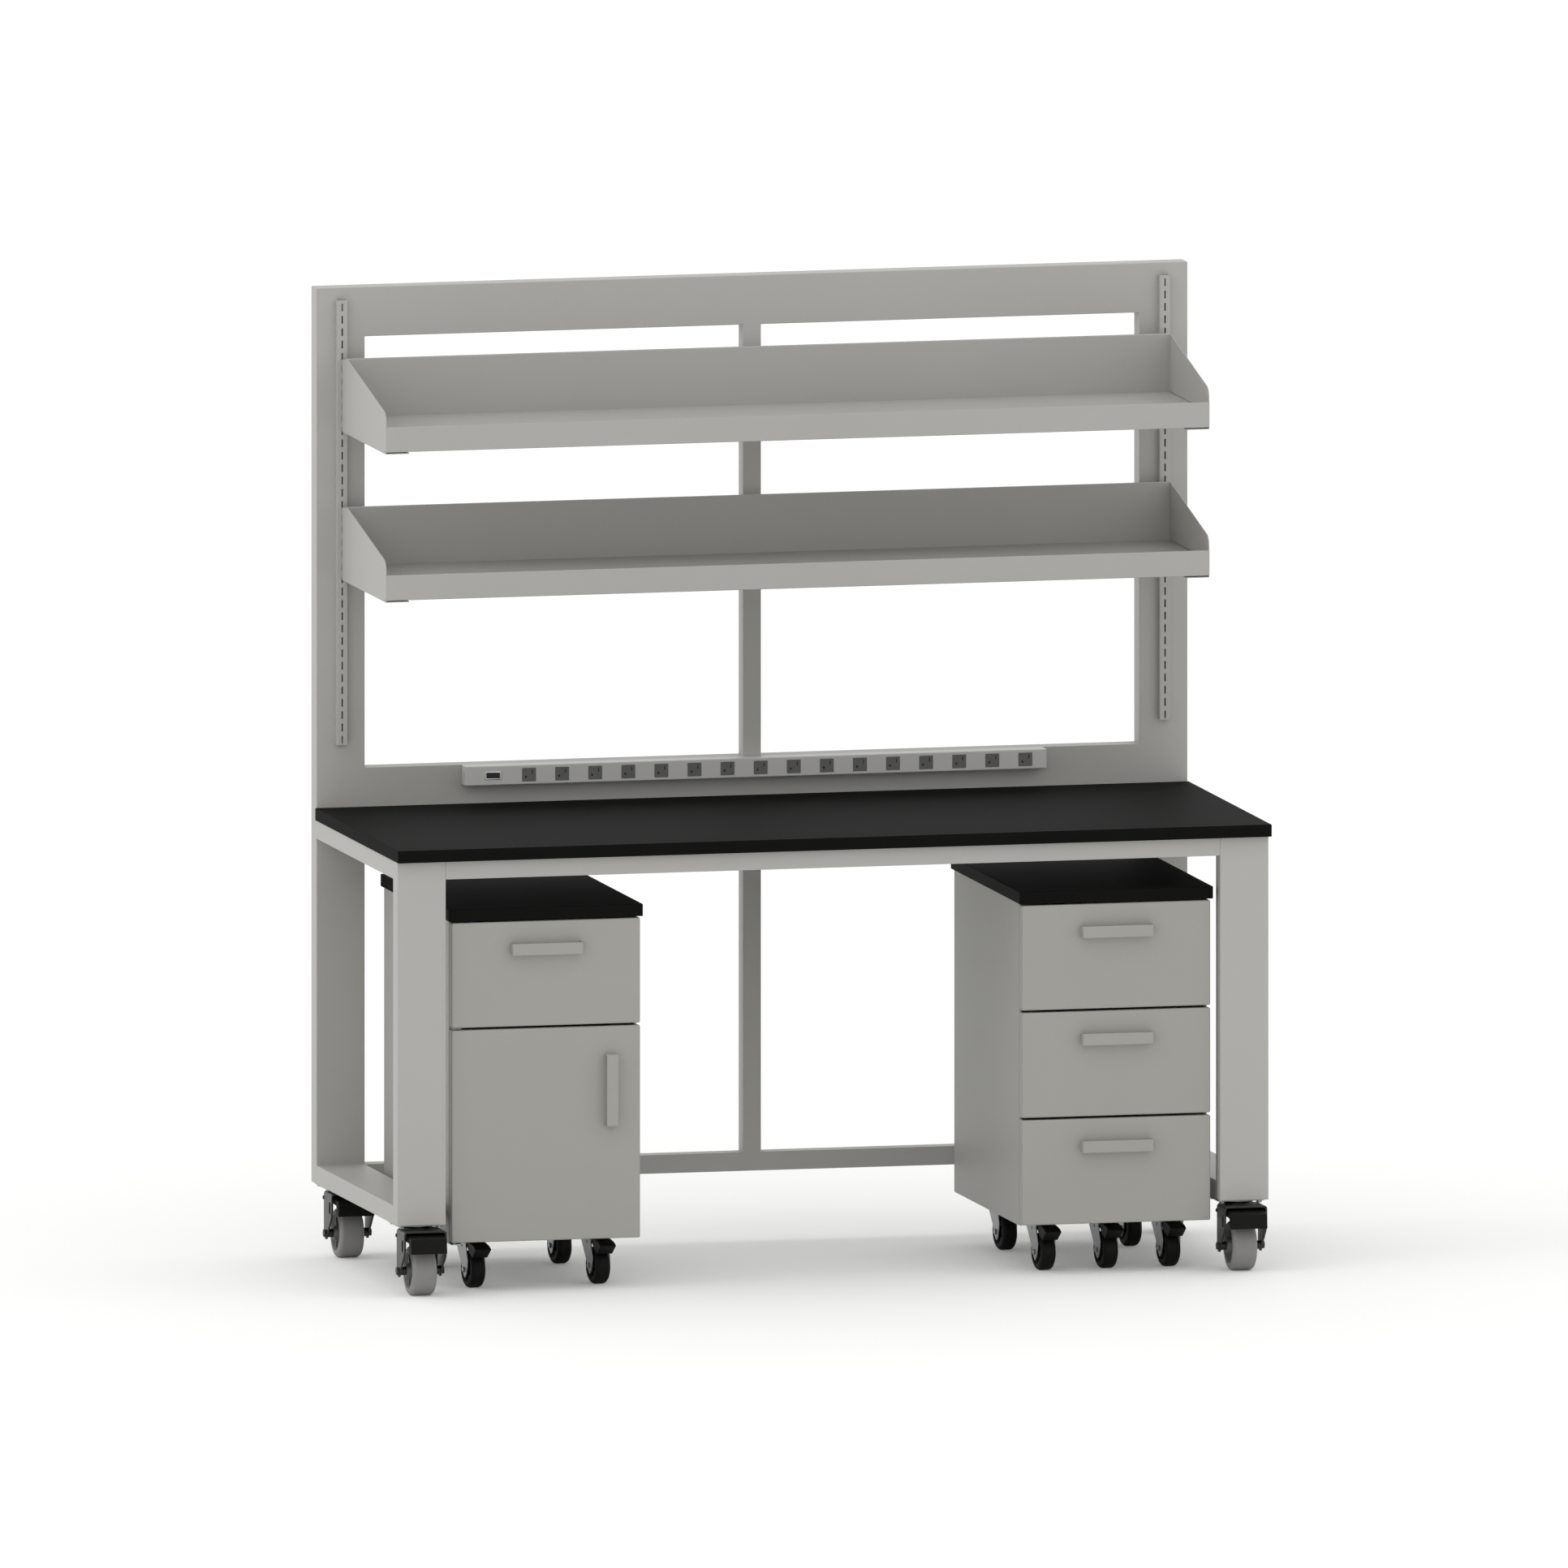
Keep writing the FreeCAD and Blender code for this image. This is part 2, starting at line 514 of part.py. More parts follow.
def fork(kind):
    """Pressed fork: an inverted U trimmed to the outline of its cheeks, with the round crown on top."""
    half = kind.fork_half
    inner = kind.cheek_inner
    outline = [(y, kind.crown_top + z) for y, z in kind.cheek_outline]
    outline[0] = (outline[0][0], kind.crown_top)
    outline[-1] = (outline[-1][0], kind.crown_top)
    front = min(y for y, z in outline) - 5
    back = max(y for y, z in outline) + 5
    outer = box(-half, half, front, back, 0, kind.crown_top)
    outer = round_along(outer, (0, 1, 0), kind.bend, lambda middle: middle.z > 1)
    hollow = box(-inner, inner, front, back, -1, kind.crown_bottom)
    hollow = round_along(hollow, (0, 1, 0), kind.bend - kind.cheek + 0.5, lambda middle: middle.z > 1)
    cheeks = prism_x(outline, -half - 1, half + 1)
    lower = [edge for edge in straight_along(cheeks, (1, 0, 0))
             if edge.CenterOfMass.z < kind.crown_bottom - 20]
    body = outer.cut(hollow).common(cheeks.makeFillet(kind.bend, lower))
    crown = Part.makeCylinder(kind.crown_radius, kind.crown, Vector(0, 0, kind.crown_bottom))
    king = Part.makeCylinder(kind.king_radius + RUNNING_FIT, kind.crown + 2,
                             Vector(0, 0, kind.crown_bottom - 1))
    holes = [king, cross_rod(kind, kind.axle_radius, -kind.trail, kind.wheel_radius, half + 1)]
    if kind.hole_length:
        holes.append(cheek_hole(kind))
    return body.fuse(crown).removeSplitter().cut(holes)


def cheek_hole(kind):
    """Upright round-ended hole through both cheeks near their front edge."""
    wide = kind.hole_width / 2
    top = kind.crown_top + kind.hole_top
    cutter = box(-kind.fork_half - 1, kind.fork_half + 1, kind.hole_y - wide, kind.hole_y + wide,
                 top - kind.hole_length, top)
    return round_along(cutter, (1, 0, 0), wide - 0.1)


def cross_rod(kind, radius, y, z, half):
    """Rod along X."""
    return Part.makeCylinder(radius, 2 * half, Vector(-half, y, z), Vector(1, 0, 0))


def axle(kind):
    """Axle with spacers against the hub and a hex head and nut outside the cheeks."""
    pin = kind.axle_radius
    spacer = kind.spacer_radius
    gap = kind.hub_half + AIR_GAP
    inner = kind.cheek_inner
    out = kind.fork_half
    half = [(0, pin), (gap, pin), (gap, spacer), (inner, spacer), (inner, pin), (out, pin)]
    outline = half + [(out, 0)] + [(-out, 0)] + [(-x, radius) for x, radius in reversed(half)][:-1]
    rod = lathe_x(outline, -kind.trail, kind.wheel_radius)
    nut = hexagon(kind.nut_radius, out, out + kind.nut_height, 0, 0)
    nut.rotate(Vector(0, 0, 0), Vector(0, 1, 0), 90)
    nut.translate(Vector(0, -kind.trail, kind.wheel_radius))
    return rod.fuse([nut, mirrored(nut)])


def fork_set(kind, braked):
    """Fork, axle and, where there is a brake, the pin of the pedal."""
    body = fork(kind)
    parts = [axle(kind)]
    if braked:
        pin = cross_rod(kind, kind.pedal_pin_radius, kind.pedal_pivot_y, kind.pedal_pivot_z,
                        kind.fork_half + 1.5)
        body = body.cut(pin)
        parts.append(pin)
    return [body] + parts


def wheel(kind):
    """Hub with a recessed web and a tread ring with rounded shoulders."""
    bore = kind.axle_radius + RUNNING_FIT
    boss = kind.boss_radius
    rim = kind.rim_radius
    half = kind.wheel_width / 2
    web = kind.web_half
    right = [(kind.hub_half, bore), (kind.hub_half, boss), (web, boss + 3), (web, rim - 5),
             (half - 2, rim - 2), (half - 2, rim)]
    hub = lathe_x(right + [(-x, radius) for x, radius in reversed(right)], -kind.trail, kind.wheel_radius)
    tread = lathe_x([(-half, rim), (half, rim), (half, kind.wheel_radius), (-half, kind.wheel_radius)],
                    -kind.trail, kind.wheel_radius)
    shoulders = [edge for edge in tread.Edges if edge.Curve.TypeId == "Part::GeomCircle"
                 and abs(edge.Curve.Radius - kind.wheel_radius) < 0.01]
    return [hub, tread.makeFillet(kind.tread_round, shoulders)]


def bench_pedal():
    """Wide brake pedal: arm from the pin to a broad pan with a tall front face, short skirts and ribs."""
    kind = BENCH_CASTER
    y = kind.pedal_pivot_y
    z = kind.pedal_pivot_z
    tip = -BENCH_PEDAL_REACH
    outline = [(y, z + 8), (y - 44, z + 9), (tip + 3, z + 2.4), (tip, z - 1), (tip, z - 28),
               (tip + 5, z - 28), (tip + 5, z - 3), (y - 44, z + 4), (y, z + 2)]
    pan = prism_x(outline, -38, 38)
    pan = round_along(pan, (1, 0, 0), 2.0, lambda middle: middle.y < tip + 4 and middle.z > z - 4)
    skirt = prism_x([(y, z + 6), (y - 44, z + 7), (tip + 3, z), (tip + 3, z - 28), (tip + 9, z - 28),
                     (tip + 22, z - 6), (y, z - 3)], 34, 38)
    ribs = [box(x - 1.5, x + 1.5, tip + 4, tip + 30, z - 14, z + 1) for x in (-22, 0, 22)]
    boss = cross_rod(kind, 8.0, y, z, 38)
    bore = cross_rod(kind, kind.pedal_pin_radius + RUNNING_FIT, y, z, 40)
    return [pan.fuse([skirt, mirrored(skirt), boss] + ribs).removeSplitter().cut(bore)]


def small_pedal():
    """Hooded brake pedal: it rises in front of the crown, runs out to a toe and folds back over the wheel."""
    kind = SMALL_CASTER
    y = kind.pedal_pivot_y
    z = kind.pedal_pivot_z
    tip = -SMALL_PEDAL_REACH
    half = kind.cheek_inner - 0.5
    inner = kind.wheel_width / 2 + AIR_GAP
    upper = [(y, z + 5), (y - 25, z + 5.5), (y - 28, z + 11.5), (y - 50, z + 8.5),
             (tip + 12, z + 5), (tip, z + 0.5)]
    fold = [(tip, z - 5), (tip + 7, z - 7), (tip + 23, z - 20)]
    lower = [(tip + 25, z - 18.5), (tip + 10, z - 5), (y - 45, z + 4), (y - 15, z + 2), (y, z - 5)]
    hood = prism_x(upper + fold + lower, -half, half)
    flank = upper[1:5] + [(tip + 8, z), (tip + 24, z - 19), (y - 36, z - 12), (y - 25, z)]
    side = prism_x(flank, inner, half)
    boss = cross_rod(kind, 5.0, y, z, half)
    bore = cross_rod(kind, kind.pedal_pin_radius + RUNNING_FIT, y, z, half + 1)
    return [hood.fuse([side, mirrored(side), boss]).removeSplitter().cut(bore)]


def placed(pieces, x, y, turn=0.0):
    """Copies of a caster's pieces, turned about the swivel axis and moved to it."""
    result = []
    for piece in pieces:
        copy = piece.copy()
        copy.rotate(Vector(0, 0, 0), Vector(0, 0, 1), turn)
        copy.translate(Vector(x, y, 0))
        result.append(copy)
    return result


def bench_pivots():
    """Swivel axes of the bench casters: name, X, Y, braked."""
    return [("fl", -BENCH_PIVOT_X, -FRONT_PIVOT_REACH, True), ("fr", BENCH_PIVOT_X, -FRONT_PIVOT_REACH, True),
            ("rl", -BENCH_PIVOT_X, -REAR_PIVOT_REACH, True), ("rr", BENCH_PIVOT_X, -REAR_PIVOT_REACH, True)]


def pedestal_pivots(centre, middle):
    """Swivel axes of a pedestal's casters: name, X, Y, braked."""
    pivots = [("fl", centre - CASTER_ROW_HALF, -FRONT_CASTER_ROW, True),
              ("fr", centre + CASTER_ROW_HALF, -FRONT_CASTER_ROW, True),
              ("rl", centre - CASTER_ROW_HALF, -REAR_CASTER_ROW, False),
              ("rr", centre + CASTER_ROW_HALF, -REAR_CASTER_ROW, False)]
    if middle:
        pivots.append(("fm", centre, -FRONT_CASTER_ROW, True))
    return pivots


def caster_nodes(prefix, kind, pedal, pivots, turn):
    """Fork, wheel and pedal nodes of a group of casters."""
    nodes = {}
    for name, x, y, braked in pivots:
        nodes[prefix + "_fork_" + name] = placed(fork_set(kind, braked), x, y, turn)
        nodes[prefix + "_wheel_" + name] = placed(wheel(kind), x, y, turn)
        if braked:
            nodes[prefix + "_pedal_" + name] = placed(pedal(), x, y, turn)
    return nodes


def plates(kind, pivots):
    """All plates of a group of casters."""
    return [piece for name, x, y, braked in pivots for piece in placed([caster_plate(kind)], x, y)]


# Pedestals, built around X = 0

def carcass(gap_heights):
    """Side sheets with front returns, back, bottom, top rails and a rail behind each gap between panels."""
    half = CARCASS_HALF
    front = -CARCASS_FRONT
    back = -CARCASS_BACK
    height = CARCASS_TOP - CARCASS_BOTTOM
    path = [(half, back), (half, front), (half - CARCASS_RETURN, front)]
    side = folded([(x, y, CARCASS_BOTTOM) for x, y in path], CARCASS_SHEET, (0, 0, height))
    clear = CARCASS_CLEAR
    inside = front + CARCASS_SHEET
    rear = back - CARCASS_SHEET
    rear_sheet = box(-clear, clear, rear, back, CARCASS_BOTTOM, CARCASS_TOP)
    bottom = box(-clear, clear, inside, rear, CARCASS_BOTTOM, CARCASS_BOTTOM + CARCASS_SHEET)
    pieces = [side, mirrored(side), rear_sheet, bottom, top_rail(inside, 1), top_rail(rear, -1)]
    pieces += [box(-clear, clear, inside, inside + 22, z - CARCASS_SHEET / 2, z + CARCASS_SHEET / 2)
               for z in gap_heights]
    return pieces


def top_rail(y, inward):
    """Angle across the top of the carcass with its flange turned down."""
    path = [(y, CARCASS_TOP - 15), (y, CARCASS_TOP), (y + inward * 40, CARCASS_TOP)]
    points = [(-CARCASS_CLEAR, a, b) for a, b in path]
    return folded(points, inward * CARCASS_SHEET, (2 * CARCASS_CLEAR, 0, 0))


def pedestal_top():
    """Slab on the pedestal, overhanging the panels."""
    half = TOP_WIDTH / 2
    front = -PANEL_FRONT - TOP_OVERHANG
    slab = box(-half, half, front, -CARCASS_BACK + TOP_OVERHANG, CARCASS_TOP, CARCASS_TOP + TOP_THICKNESS)
    return [round_along(slab, (1, 0, 0), WORKTOP_EDGE, lambda middle: middle.y < front + 1)]


def panel(low, high):
    """Front pan with rounded edges and the liner sheet that closes its back."""
    front = -PANEL_FRONT
    pan = box(-PANEL_HALF, PANEL_HALF, front, -PANEL_BACK, low, high)
    rims = [edge for edge in pan.Edges if abs(edge.CenterOfMass.y - front) < 0.01]
    pan = pan.makeFillet(PANEL_EDGE, rims)
    sheet = PANEL_SHEET
    inner = PANEL_HALF - sheet
    hollow = box(-inner, inner, front + sheet, -PANEL_BACK, low + sheet, high - sheet)
    liner = box(-inner, inner, -PANEL_BACK - sheet, -PANEL_BACK, low + sheet, high - sheet)
    return [pan.cut(hollow), liner]


def handle(x, z, upright):
    """Strap handle bent back to the panel at both ends."""
    reach = HANDLE_LENGTH / 2
    face = -PANEL_FRONT
    path = [(-reach, face), (-reach, face - HANDLE_STANDOFF), (reach, face - HANDLE_STANDOFF), (reach, face)]
    strap = folded([(a, b, -HANDLE_WIDTH / 2) for a, b in path], HANDLE_SHEET, (0, 0, HANDLE_WIDTH))
    strap = round_along(strap, (0, 0, 1), 1.5, lambda middle: middle.y < face - HANDLE_STANDOFF + 1)
    if upright:
        strap.rotate(Vector(0, 0, 0), Vector(0, 1, 0), 90)
    strap.translate(Vector(x, 0, z))
    return strap


def runner_height(top):
    """Middle height of the runners of the drawer whose panel ends at the given height."""
    return top - PANEL_HEIGHT + DRAWER_BOX_BOTTOM_RISE + RUNNER_HEIGHT


def runners(tops):
    """Fixed C-shaped runner members on both sides for each drawer."""
    members = []
    low_y = -CARCASS_FRONT + 6
    depth = RUNNER_SPACE - 1.2
    wall = CARCASS_CLEAR
    for top in tops:
        z = runner_height(top)
        half = RUNNER_HEIGHT / 2
        path = [(wall - depth, z - half), (wall, z - half), (wall, z + half), (wall - depth, z + half)]
        member = folded([(x, low_y, h) for x, h in path], RUNNER_SHEET, (0, RUNNER_LENGTH, 0))
        members += [member, mirrored(member)]
    return members


def drawer(top):
    """Box with rolled side rims, panel, handle and the moving runner members of one drawer."""
    low = top - PANEL_HEIGHT
    base = low + DRAWER_BOX_BOTTOM_RISE
    rim = top - DRAWER_BOX_TOP_DROP
    front = -PANEL_BACK
    back = front + DRAWER_BOX_DEPTH
    sheet = DRAWER_SHEET
    inner = BOX_HALF - sheet
    outline = [(BOX_HALF, base), (BOX_HALF, rim), (inner - sheet, rim), (inner - sheet, rim - 8),
               (inner, rim - 8), (inner, base)]
    side = face_of([(x, front, z) for x, z in outline]).extrude(Vector(0, DRAWER_BOX_DEPTH, 0))
    bottom = box(-inner, inner, front + sheet, back - sheet, base, base + sheet)
    ends = [box(-inner, inner, y, y + sheet, base, rim - 8) for y in (front, back - sheet)]
    z = runner_height(top)
    half = RUNNER_HEIGHT / 2 - RUNNER_SHEET - RUNNER_CLEARANCE
    path = [(BOX_HALF + 8, z - half), (BOX_HALF, z - half), (BOX_HALF, z + half), (BOX_HALF + 8, z + half)]
    member = folded([(x, front + 12, h) for x, h in path], -RUNNER_SHEET, (0, RUNNER_LENGTH, 0))
    pull = handle(0, top - HANDLE_DROP - HANDLE_WIDTH / 2, False)
    return panel(low, top) + [pull, side, mirrored(side), bottom] + ends + [member, mirrored(member)]


def door():
    """Hinged door: panel with two pin holes near its left edge and an upright handle near its right edge."""
    skin, liner = panel(PANEL_BOTTOM, DOOR_TOP)
    hole = HINGE_PIN_RADIUS + RUNNING_FIT
    x = -PANEL_HALF + HINGE_INSET
    y = -PANEL_FRONT + PANEL_THICKNESS / 2
    holes = [Part.makeCylinder(hole, 4 * PANEL_SHEET, Vector(x, y, z - 2 * PANEL_SHEET))
             for z in (PANEL_BOTTOM, DOOR_TOP)]
    pull = handle(PANEL_HALF - DOOR_HANDLE_INSET, DOOR_TOP - DOOR_HANDLE_DROP - HANDLE_LENGTH / 2, True)
    return [skin.cut(holes), liner, pull]


def door_hinges():
    """Leaf and pin below the door, and leaf and pin in the gap above it."""
    x = -PANEL_HALF + HINGE_INSET
    y = -PANEL_FRONT + PANEL_THICKNESS / 2
    back = -CARCASS_FRONT + CARCASS_SHEET
    low = CARCASS_BOTTOM
    left = x - 7
    right = left + HINGE_LEAF_WIDTH
    below = box(left, right, y - 7, back + HINGE_LEAF_TAIL, low - HINGE_LEAF, low)
    below = round_along(below, (0, 0, 1), 3.0)
    middle = DOOR_TOP + PANEL_GAP / 2
    leaf = middle - CARCASS_SHEET / 2
    step = -CARCASS_FRONT - 0.5
    inside = CARCASS_RETURN + AIR_GAP - CARCASS_HALF
    outline = [(x - 4, y - 7), (right, y - 7), (right, back), (inside, back), (inside, step), (x - 4, step)]
    above = prism_z(outline, leaf, leaf + CARCASS_SHEET)
    above = round_along(above, (0, 0, 1), 2.0, lambda point: point.y < y)
    low_pin = Part.makeCylinder(HINGE_PIN_RADIUS, PANEL_BOTTOM - low + 10, Vector(x, y, low))
    top_pin = Part.makeCylinder(HINGE_PIN_RADIUS, leaf - DOOR_TOP + 10, Vector(x, y, DOOR_TOP - 10))
    return [below, low_pin, above, top_pin]


def at_x(pieces, x):
    """Pieces moved along the bench."""
    moved = [piece.copy() for piece in pieces]
    for piece in moved:
        piece.translate(Vector(x, 0, 0))
    return moved


def pedestal_nodes(prefix, x, drawer_tops, gaps, middle_caster, hinges):
    """Everything of one pedestal but its doors; its fittings are the caster plates, runners and hinges."""
    pivots = pedestal_pivots(x, middle_caster)
    nodes = {
        prefix + "_carcass": at_x(carcass(gaps), x),
        prefix + "_top": at_x(pedestal_top(), x),
        prefix + "_fittings": plates(SMALL_CASTER, pivots) + at_x(runners(drawer_tops) + hinges, x),
    }
    for number, top in enumerate(drawer_tops, 1):
        name = prefix + "_drawer" + ("_%d" % number if len(drawer_tops) > 1 else "")
        nodes[name] = at_x(drawer(top), x)
    nodes.update(caster_nodes(prefix, SMALL_CASTER, small_pedal, pivots, SMALL_PARKED_ANGLE))
    return nodes


def all_nodes():
    """Every node of the bench."""
    nodes = {
        "rear_frame": rear_frame(),
        "base_frame": base_frame(),
        "worktop": worktop(),
        "shelf_standards": shelf_standards(),
        "frame_fasteners": frame_fasteners(),
        "power_rail_housing": power_rail_housing(),
        "power_outlets": power_outlets(),
        "power_switch": power_switch(),
        "bench_caster_plates": plates(BENCH_CASTER, bench_pivots()),
        "upper_shelf_tray": shelf_tray(UPPER_SHELF_SLOT_COUNT),
        "upper_shelf_brackets": shelf_brackets(UPPER_SHELF_SLOT_COUNT),
        "lower_shelf_tray": shelf_tray(LOWER_SHELF_SLOT_COUNT),
        "lower_shelf_brackets": shelf_brackets(LOWER_SHELF_SLOT_COUNT),
    }
    nodes.update(caster_nodes("bench", BENCH_CASTER, bench_pedal, bench_pivots(), 0.0))
    tops = [PANEL_TOP - index * (PANEL_HEIGHT + PANEL_GAP) for index in range(DRAWER_COUNT)]
    gaps = [top + PANEL_GAP / 2 for top in tops[1:]]
    nodes.update(pedestal_nodes("left", -PEDESTAL_X, tops[:1], gaps[:1], False, door_hinges()))
    nodes.update(pedestal_nodes("right", PEDESTAL_X, tops, gaps, True, []))
    nodes["left_door"] = at_x(door(), -PEDESTAL_X)
    return nodes


def save(name, pieces):
    """Write one node, moved so that the bench stands centred on the origin."""
    shape = Part.makeCompound(pieces) if len(pieces) > 1 else pieces[0].copy()
    shape.translate(Vector(0, SHIFT_Y, 0))
    shape.exportStep(os.path.join("parts", name + ".step"))


def main():
    """Build and write every node."""
    os.makedirs("parts", exist_ok=True)
    for name, pieces in all_nodes().items():
        save(name, pieces)


main()
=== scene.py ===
"""Mobile laboratory bench with two reagent shelves, a power rail and two pedestals: surfaces, finishes and studio.

Lengths are millimetres in the part's frame, with +Z up and the front facing -Y, except in the studio, where
they are metres. A Surface is turned to metres when it becomes a piece.
"""

import logging
import math
from collections.abc import Sequence
from dataclasses import dataclass, field
from enum import Enum

import bmesh
import bpy
import numpy as np
from mathutils import Matrix, Vector
from mathutils.geometry import delaunay_2d_cdt


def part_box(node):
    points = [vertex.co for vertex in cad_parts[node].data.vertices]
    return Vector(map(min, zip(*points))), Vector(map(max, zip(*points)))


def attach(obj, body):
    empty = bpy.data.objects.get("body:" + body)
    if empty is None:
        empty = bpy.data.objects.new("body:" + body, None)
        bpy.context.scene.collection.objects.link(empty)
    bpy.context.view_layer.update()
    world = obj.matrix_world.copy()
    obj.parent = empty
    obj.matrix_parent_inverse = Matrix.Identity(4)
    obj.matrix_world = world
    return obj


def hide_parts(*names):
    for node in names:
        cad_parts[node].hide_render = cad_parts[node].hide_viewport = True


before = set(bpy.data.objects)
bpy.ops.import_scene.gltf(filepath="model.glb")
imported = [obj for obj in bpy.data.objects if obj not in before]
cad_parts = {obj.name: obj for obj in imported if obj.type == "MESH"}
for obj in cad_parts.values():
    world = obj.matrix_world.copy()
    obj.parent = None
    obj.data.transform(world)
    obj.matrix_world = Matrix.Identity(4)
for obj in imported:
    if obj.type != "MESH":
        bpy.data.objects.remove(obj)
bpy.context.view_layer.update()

logging.basicConfig(level=logging.INFO, format="%(message)s")
LOG = logging.getLogger("bench")

MM = 0.001
# Air between parts that turn past each other, and between a bore and its pin.
GAP = 0.3
FIT = 0.05
# Edges that are only broken: those of cut sheet and turned rod, and blunter ones.
CUT = 0.2
BROKEN = 0.3
# Added to a chord so that one of no length can still be divided by its length.
TINY = 1e-9
# Points of a plate nearer than this are one point, and only the inside of its outline is filled.
SAME_SPOT = 1e-6
FILL_INSIDE = 1
# In metres: points of a mesh nearer than the first are merged, and edges shorter than the second are taken out.
MERGED = 2e-6
SHORTEST = 1e-6
Array = np.ndarray
Spot = tuple[float, float]
Edges = float | tuple[float, float]


# Surfaces

class Axis(Enum):
    """Direction that an outline is carried along; its two coordinates are the other two axes in order."""

    X = 0
    Y = 1
    Z = 2

    def points(self, outline: Array, station: float | Array) -> Array:
        """Put a flat outline at a station of the axis.

        Args:
            outline: Points (..., 2).
            station: Place along the axis, a number or one for each point.

        Returns:
            Points (..., 3).
        """
        along = np.broadcast_to(station, outline.shape[:-1])
        return np.insert(outline, self.value, along, axis=-1)


@dataclass
class Surface:
    """Points in millimetres with the quads and polygons between them."""

    points: Array
    quads: Array
    polygons: list[Array] = field(default_factory=list)

    def __add__(self, other: "Surface") -> "Surface":
        """Both surfaces as one.

        Args:
            other: The surface that follows this one.

        Returns:
            The common surface.
        """
        shift = len(self.points)
        return Surface(np.vstack((self.points, other.points)), np.vstack((self.quads, other.quads + shift)),
                       self.polygons + [polygon + shift for polygon in other.polygons])

    def moved(self, x: float = 0.0, y: float = 0.0, z: float = 0.0) -> "Surface":
        """The surface moved along the axes."""
        return Surface(self.points + (x, y, z), self.quads, self.polygons)

    def turned(self, degrees: float) -> "Surface":
        """The surface turned about the vertical axis: each point is multiplied by the matrix of that turn."""
        turn = np.array(Matrix.Rotation(math.radians(degrees), 3, "Z"))
        return Surface(self.points @ turn.T, self.quads, self.polygons)

    def mirrored(self, x: float = 0.0) -> "Surface":
        """The surface on the other side of the plane at x."""
        return Surface(self.points * (-1, 1, 1) + (2 * x, 0, 0), self.quads, self.polygons)


def joined(surfaces: Sequence[Surface]) -> Surface:
    """Several surfaces as one."""
    return sum(surfaces[1:], surfaces[0])


def grid(points: Array, capped: bool = True) -> Surface:
    """Quads between the rows of a grid of points whose rows are closed loops.

    Args:
        points: Grid (rows, columns, 3); point j of row i is joined to point j of row i + 1.
        capped: Whether the first and last rows are filled.

    Returns:
        The surface.
    """
    rows, columns = points.shape[:2]
    number = np.arange(rows * columns).reshape(rows, columns)
    after = np.roll(number, -1, axis=1)
    quads = np.stack((number[:-1], after[:-1], after[1:], number[1:]), axis=-1).reshape(-1, 4)
    caps = [number[0][::-1], number[-1]] if capped else []
    return Surface(points.reshape(-1, 3), quads, caps)


def unit(vectors: Array) -> Array:
    """Vectors divided by their lengths."""
    return vectors / np.linalg.norm(vectors, axis=-1, keepdims=True)


def rounded(corners: Sequence[Spot] | Array, radii: float | Sequence[float] | Array, steps: int = 5) -> Array:
    """Closed outline whose corners turn on arcs.

    With unit vectors u and v from a corner to its neighbours and half the angle h between them, the arc's
    centre is corner + unit(u + v) * radius / sin(h), and the arc runs between the points at
    corner + u * radius / tan(h) and corner + v * radius / tan(h), blended by the sines of the swept angle.

    Args:
        corners: Corners of the outline, in order.
        radii: One radius, or one for each corner.
        steps: Points on each arc.

    Returns:
        Points (corners * steps, 2).
    """
    spots = np.asarray(corners, float)
    u = unit(np.roll(spots, 1, axis=0) - spots)
    v = unit(np.roll(spots, -1, axis=0) - spots)
    half = np.arccos(np.clip((u * v).sum(axis=1), -1, 1)) / 2
    radius = np.broadcast_to(np.asarray(radii, float), half.shape)
    centre = spots + unit(u + v) * (radius / np.sin(half))[:, None]
    reach = (radius / np.tan(half))[:, None]
    start = (spots + u * reach - centre)[:, None]
    end = (spots + v * reach - centre)[:, None]
    swept = (np.pi - 2 * half)[:, None, None]
    share = np.linspace(0, 1, steps)[None, :, None]
    arcs = (np.sin((1 - share) * swept) * start + np.sin(share * swept) * end) / np.sin(swept)
    return (centre[:, None] + arcs).reshape(-1, 2)


def rectangle(x0: float, x1: float, y0: float, y1: float, radius: float, steps: int = 5) -> Array:
    """Rectangle with rounded corners."""
    return rounded([(x0, y0), (x1, y0), (x1, y1), (x0, y1)], radius, steps)


def circle(x: float, y: float, radius: float, steps: int = 24) -> Array:
    """Round outline: centre + radius * (cos a, sin a) for a full turn of the angle a."""
    angle = np.linspace(0, 2 * np.pi, steps, endpoint=False)
    return np.column_stack((x + radius * np.cos(angle), y + radius * np.sin(angle)))


def inwards(outline: Array, distance: float) -> Array:
    """Outline moved to its inner side, each point along the normal of the chord between its neighbours.

    The inner side is on the left where the sum of x1 * y2 - x2 * y1 over the outline's runs is positive.

    Args:
        outline: Closed outline (n, 2).
        distance: How far it moves; a negative distance moves it outwards.

    Returns:
        The moved outline.
    """
    chord = unit(np.roll(outline, -1, axis=0) - np.roll(outline, 1, axis=0) + TINY)
    x, y = outline.T
    area = (x * np.roll(y, -1) - np.roll(x, -1) * y).sum()
    side = distance * math.copysign(1, area)
    return outline + side * np.column_stack((-chord[:, 1], chord[:, 0]))


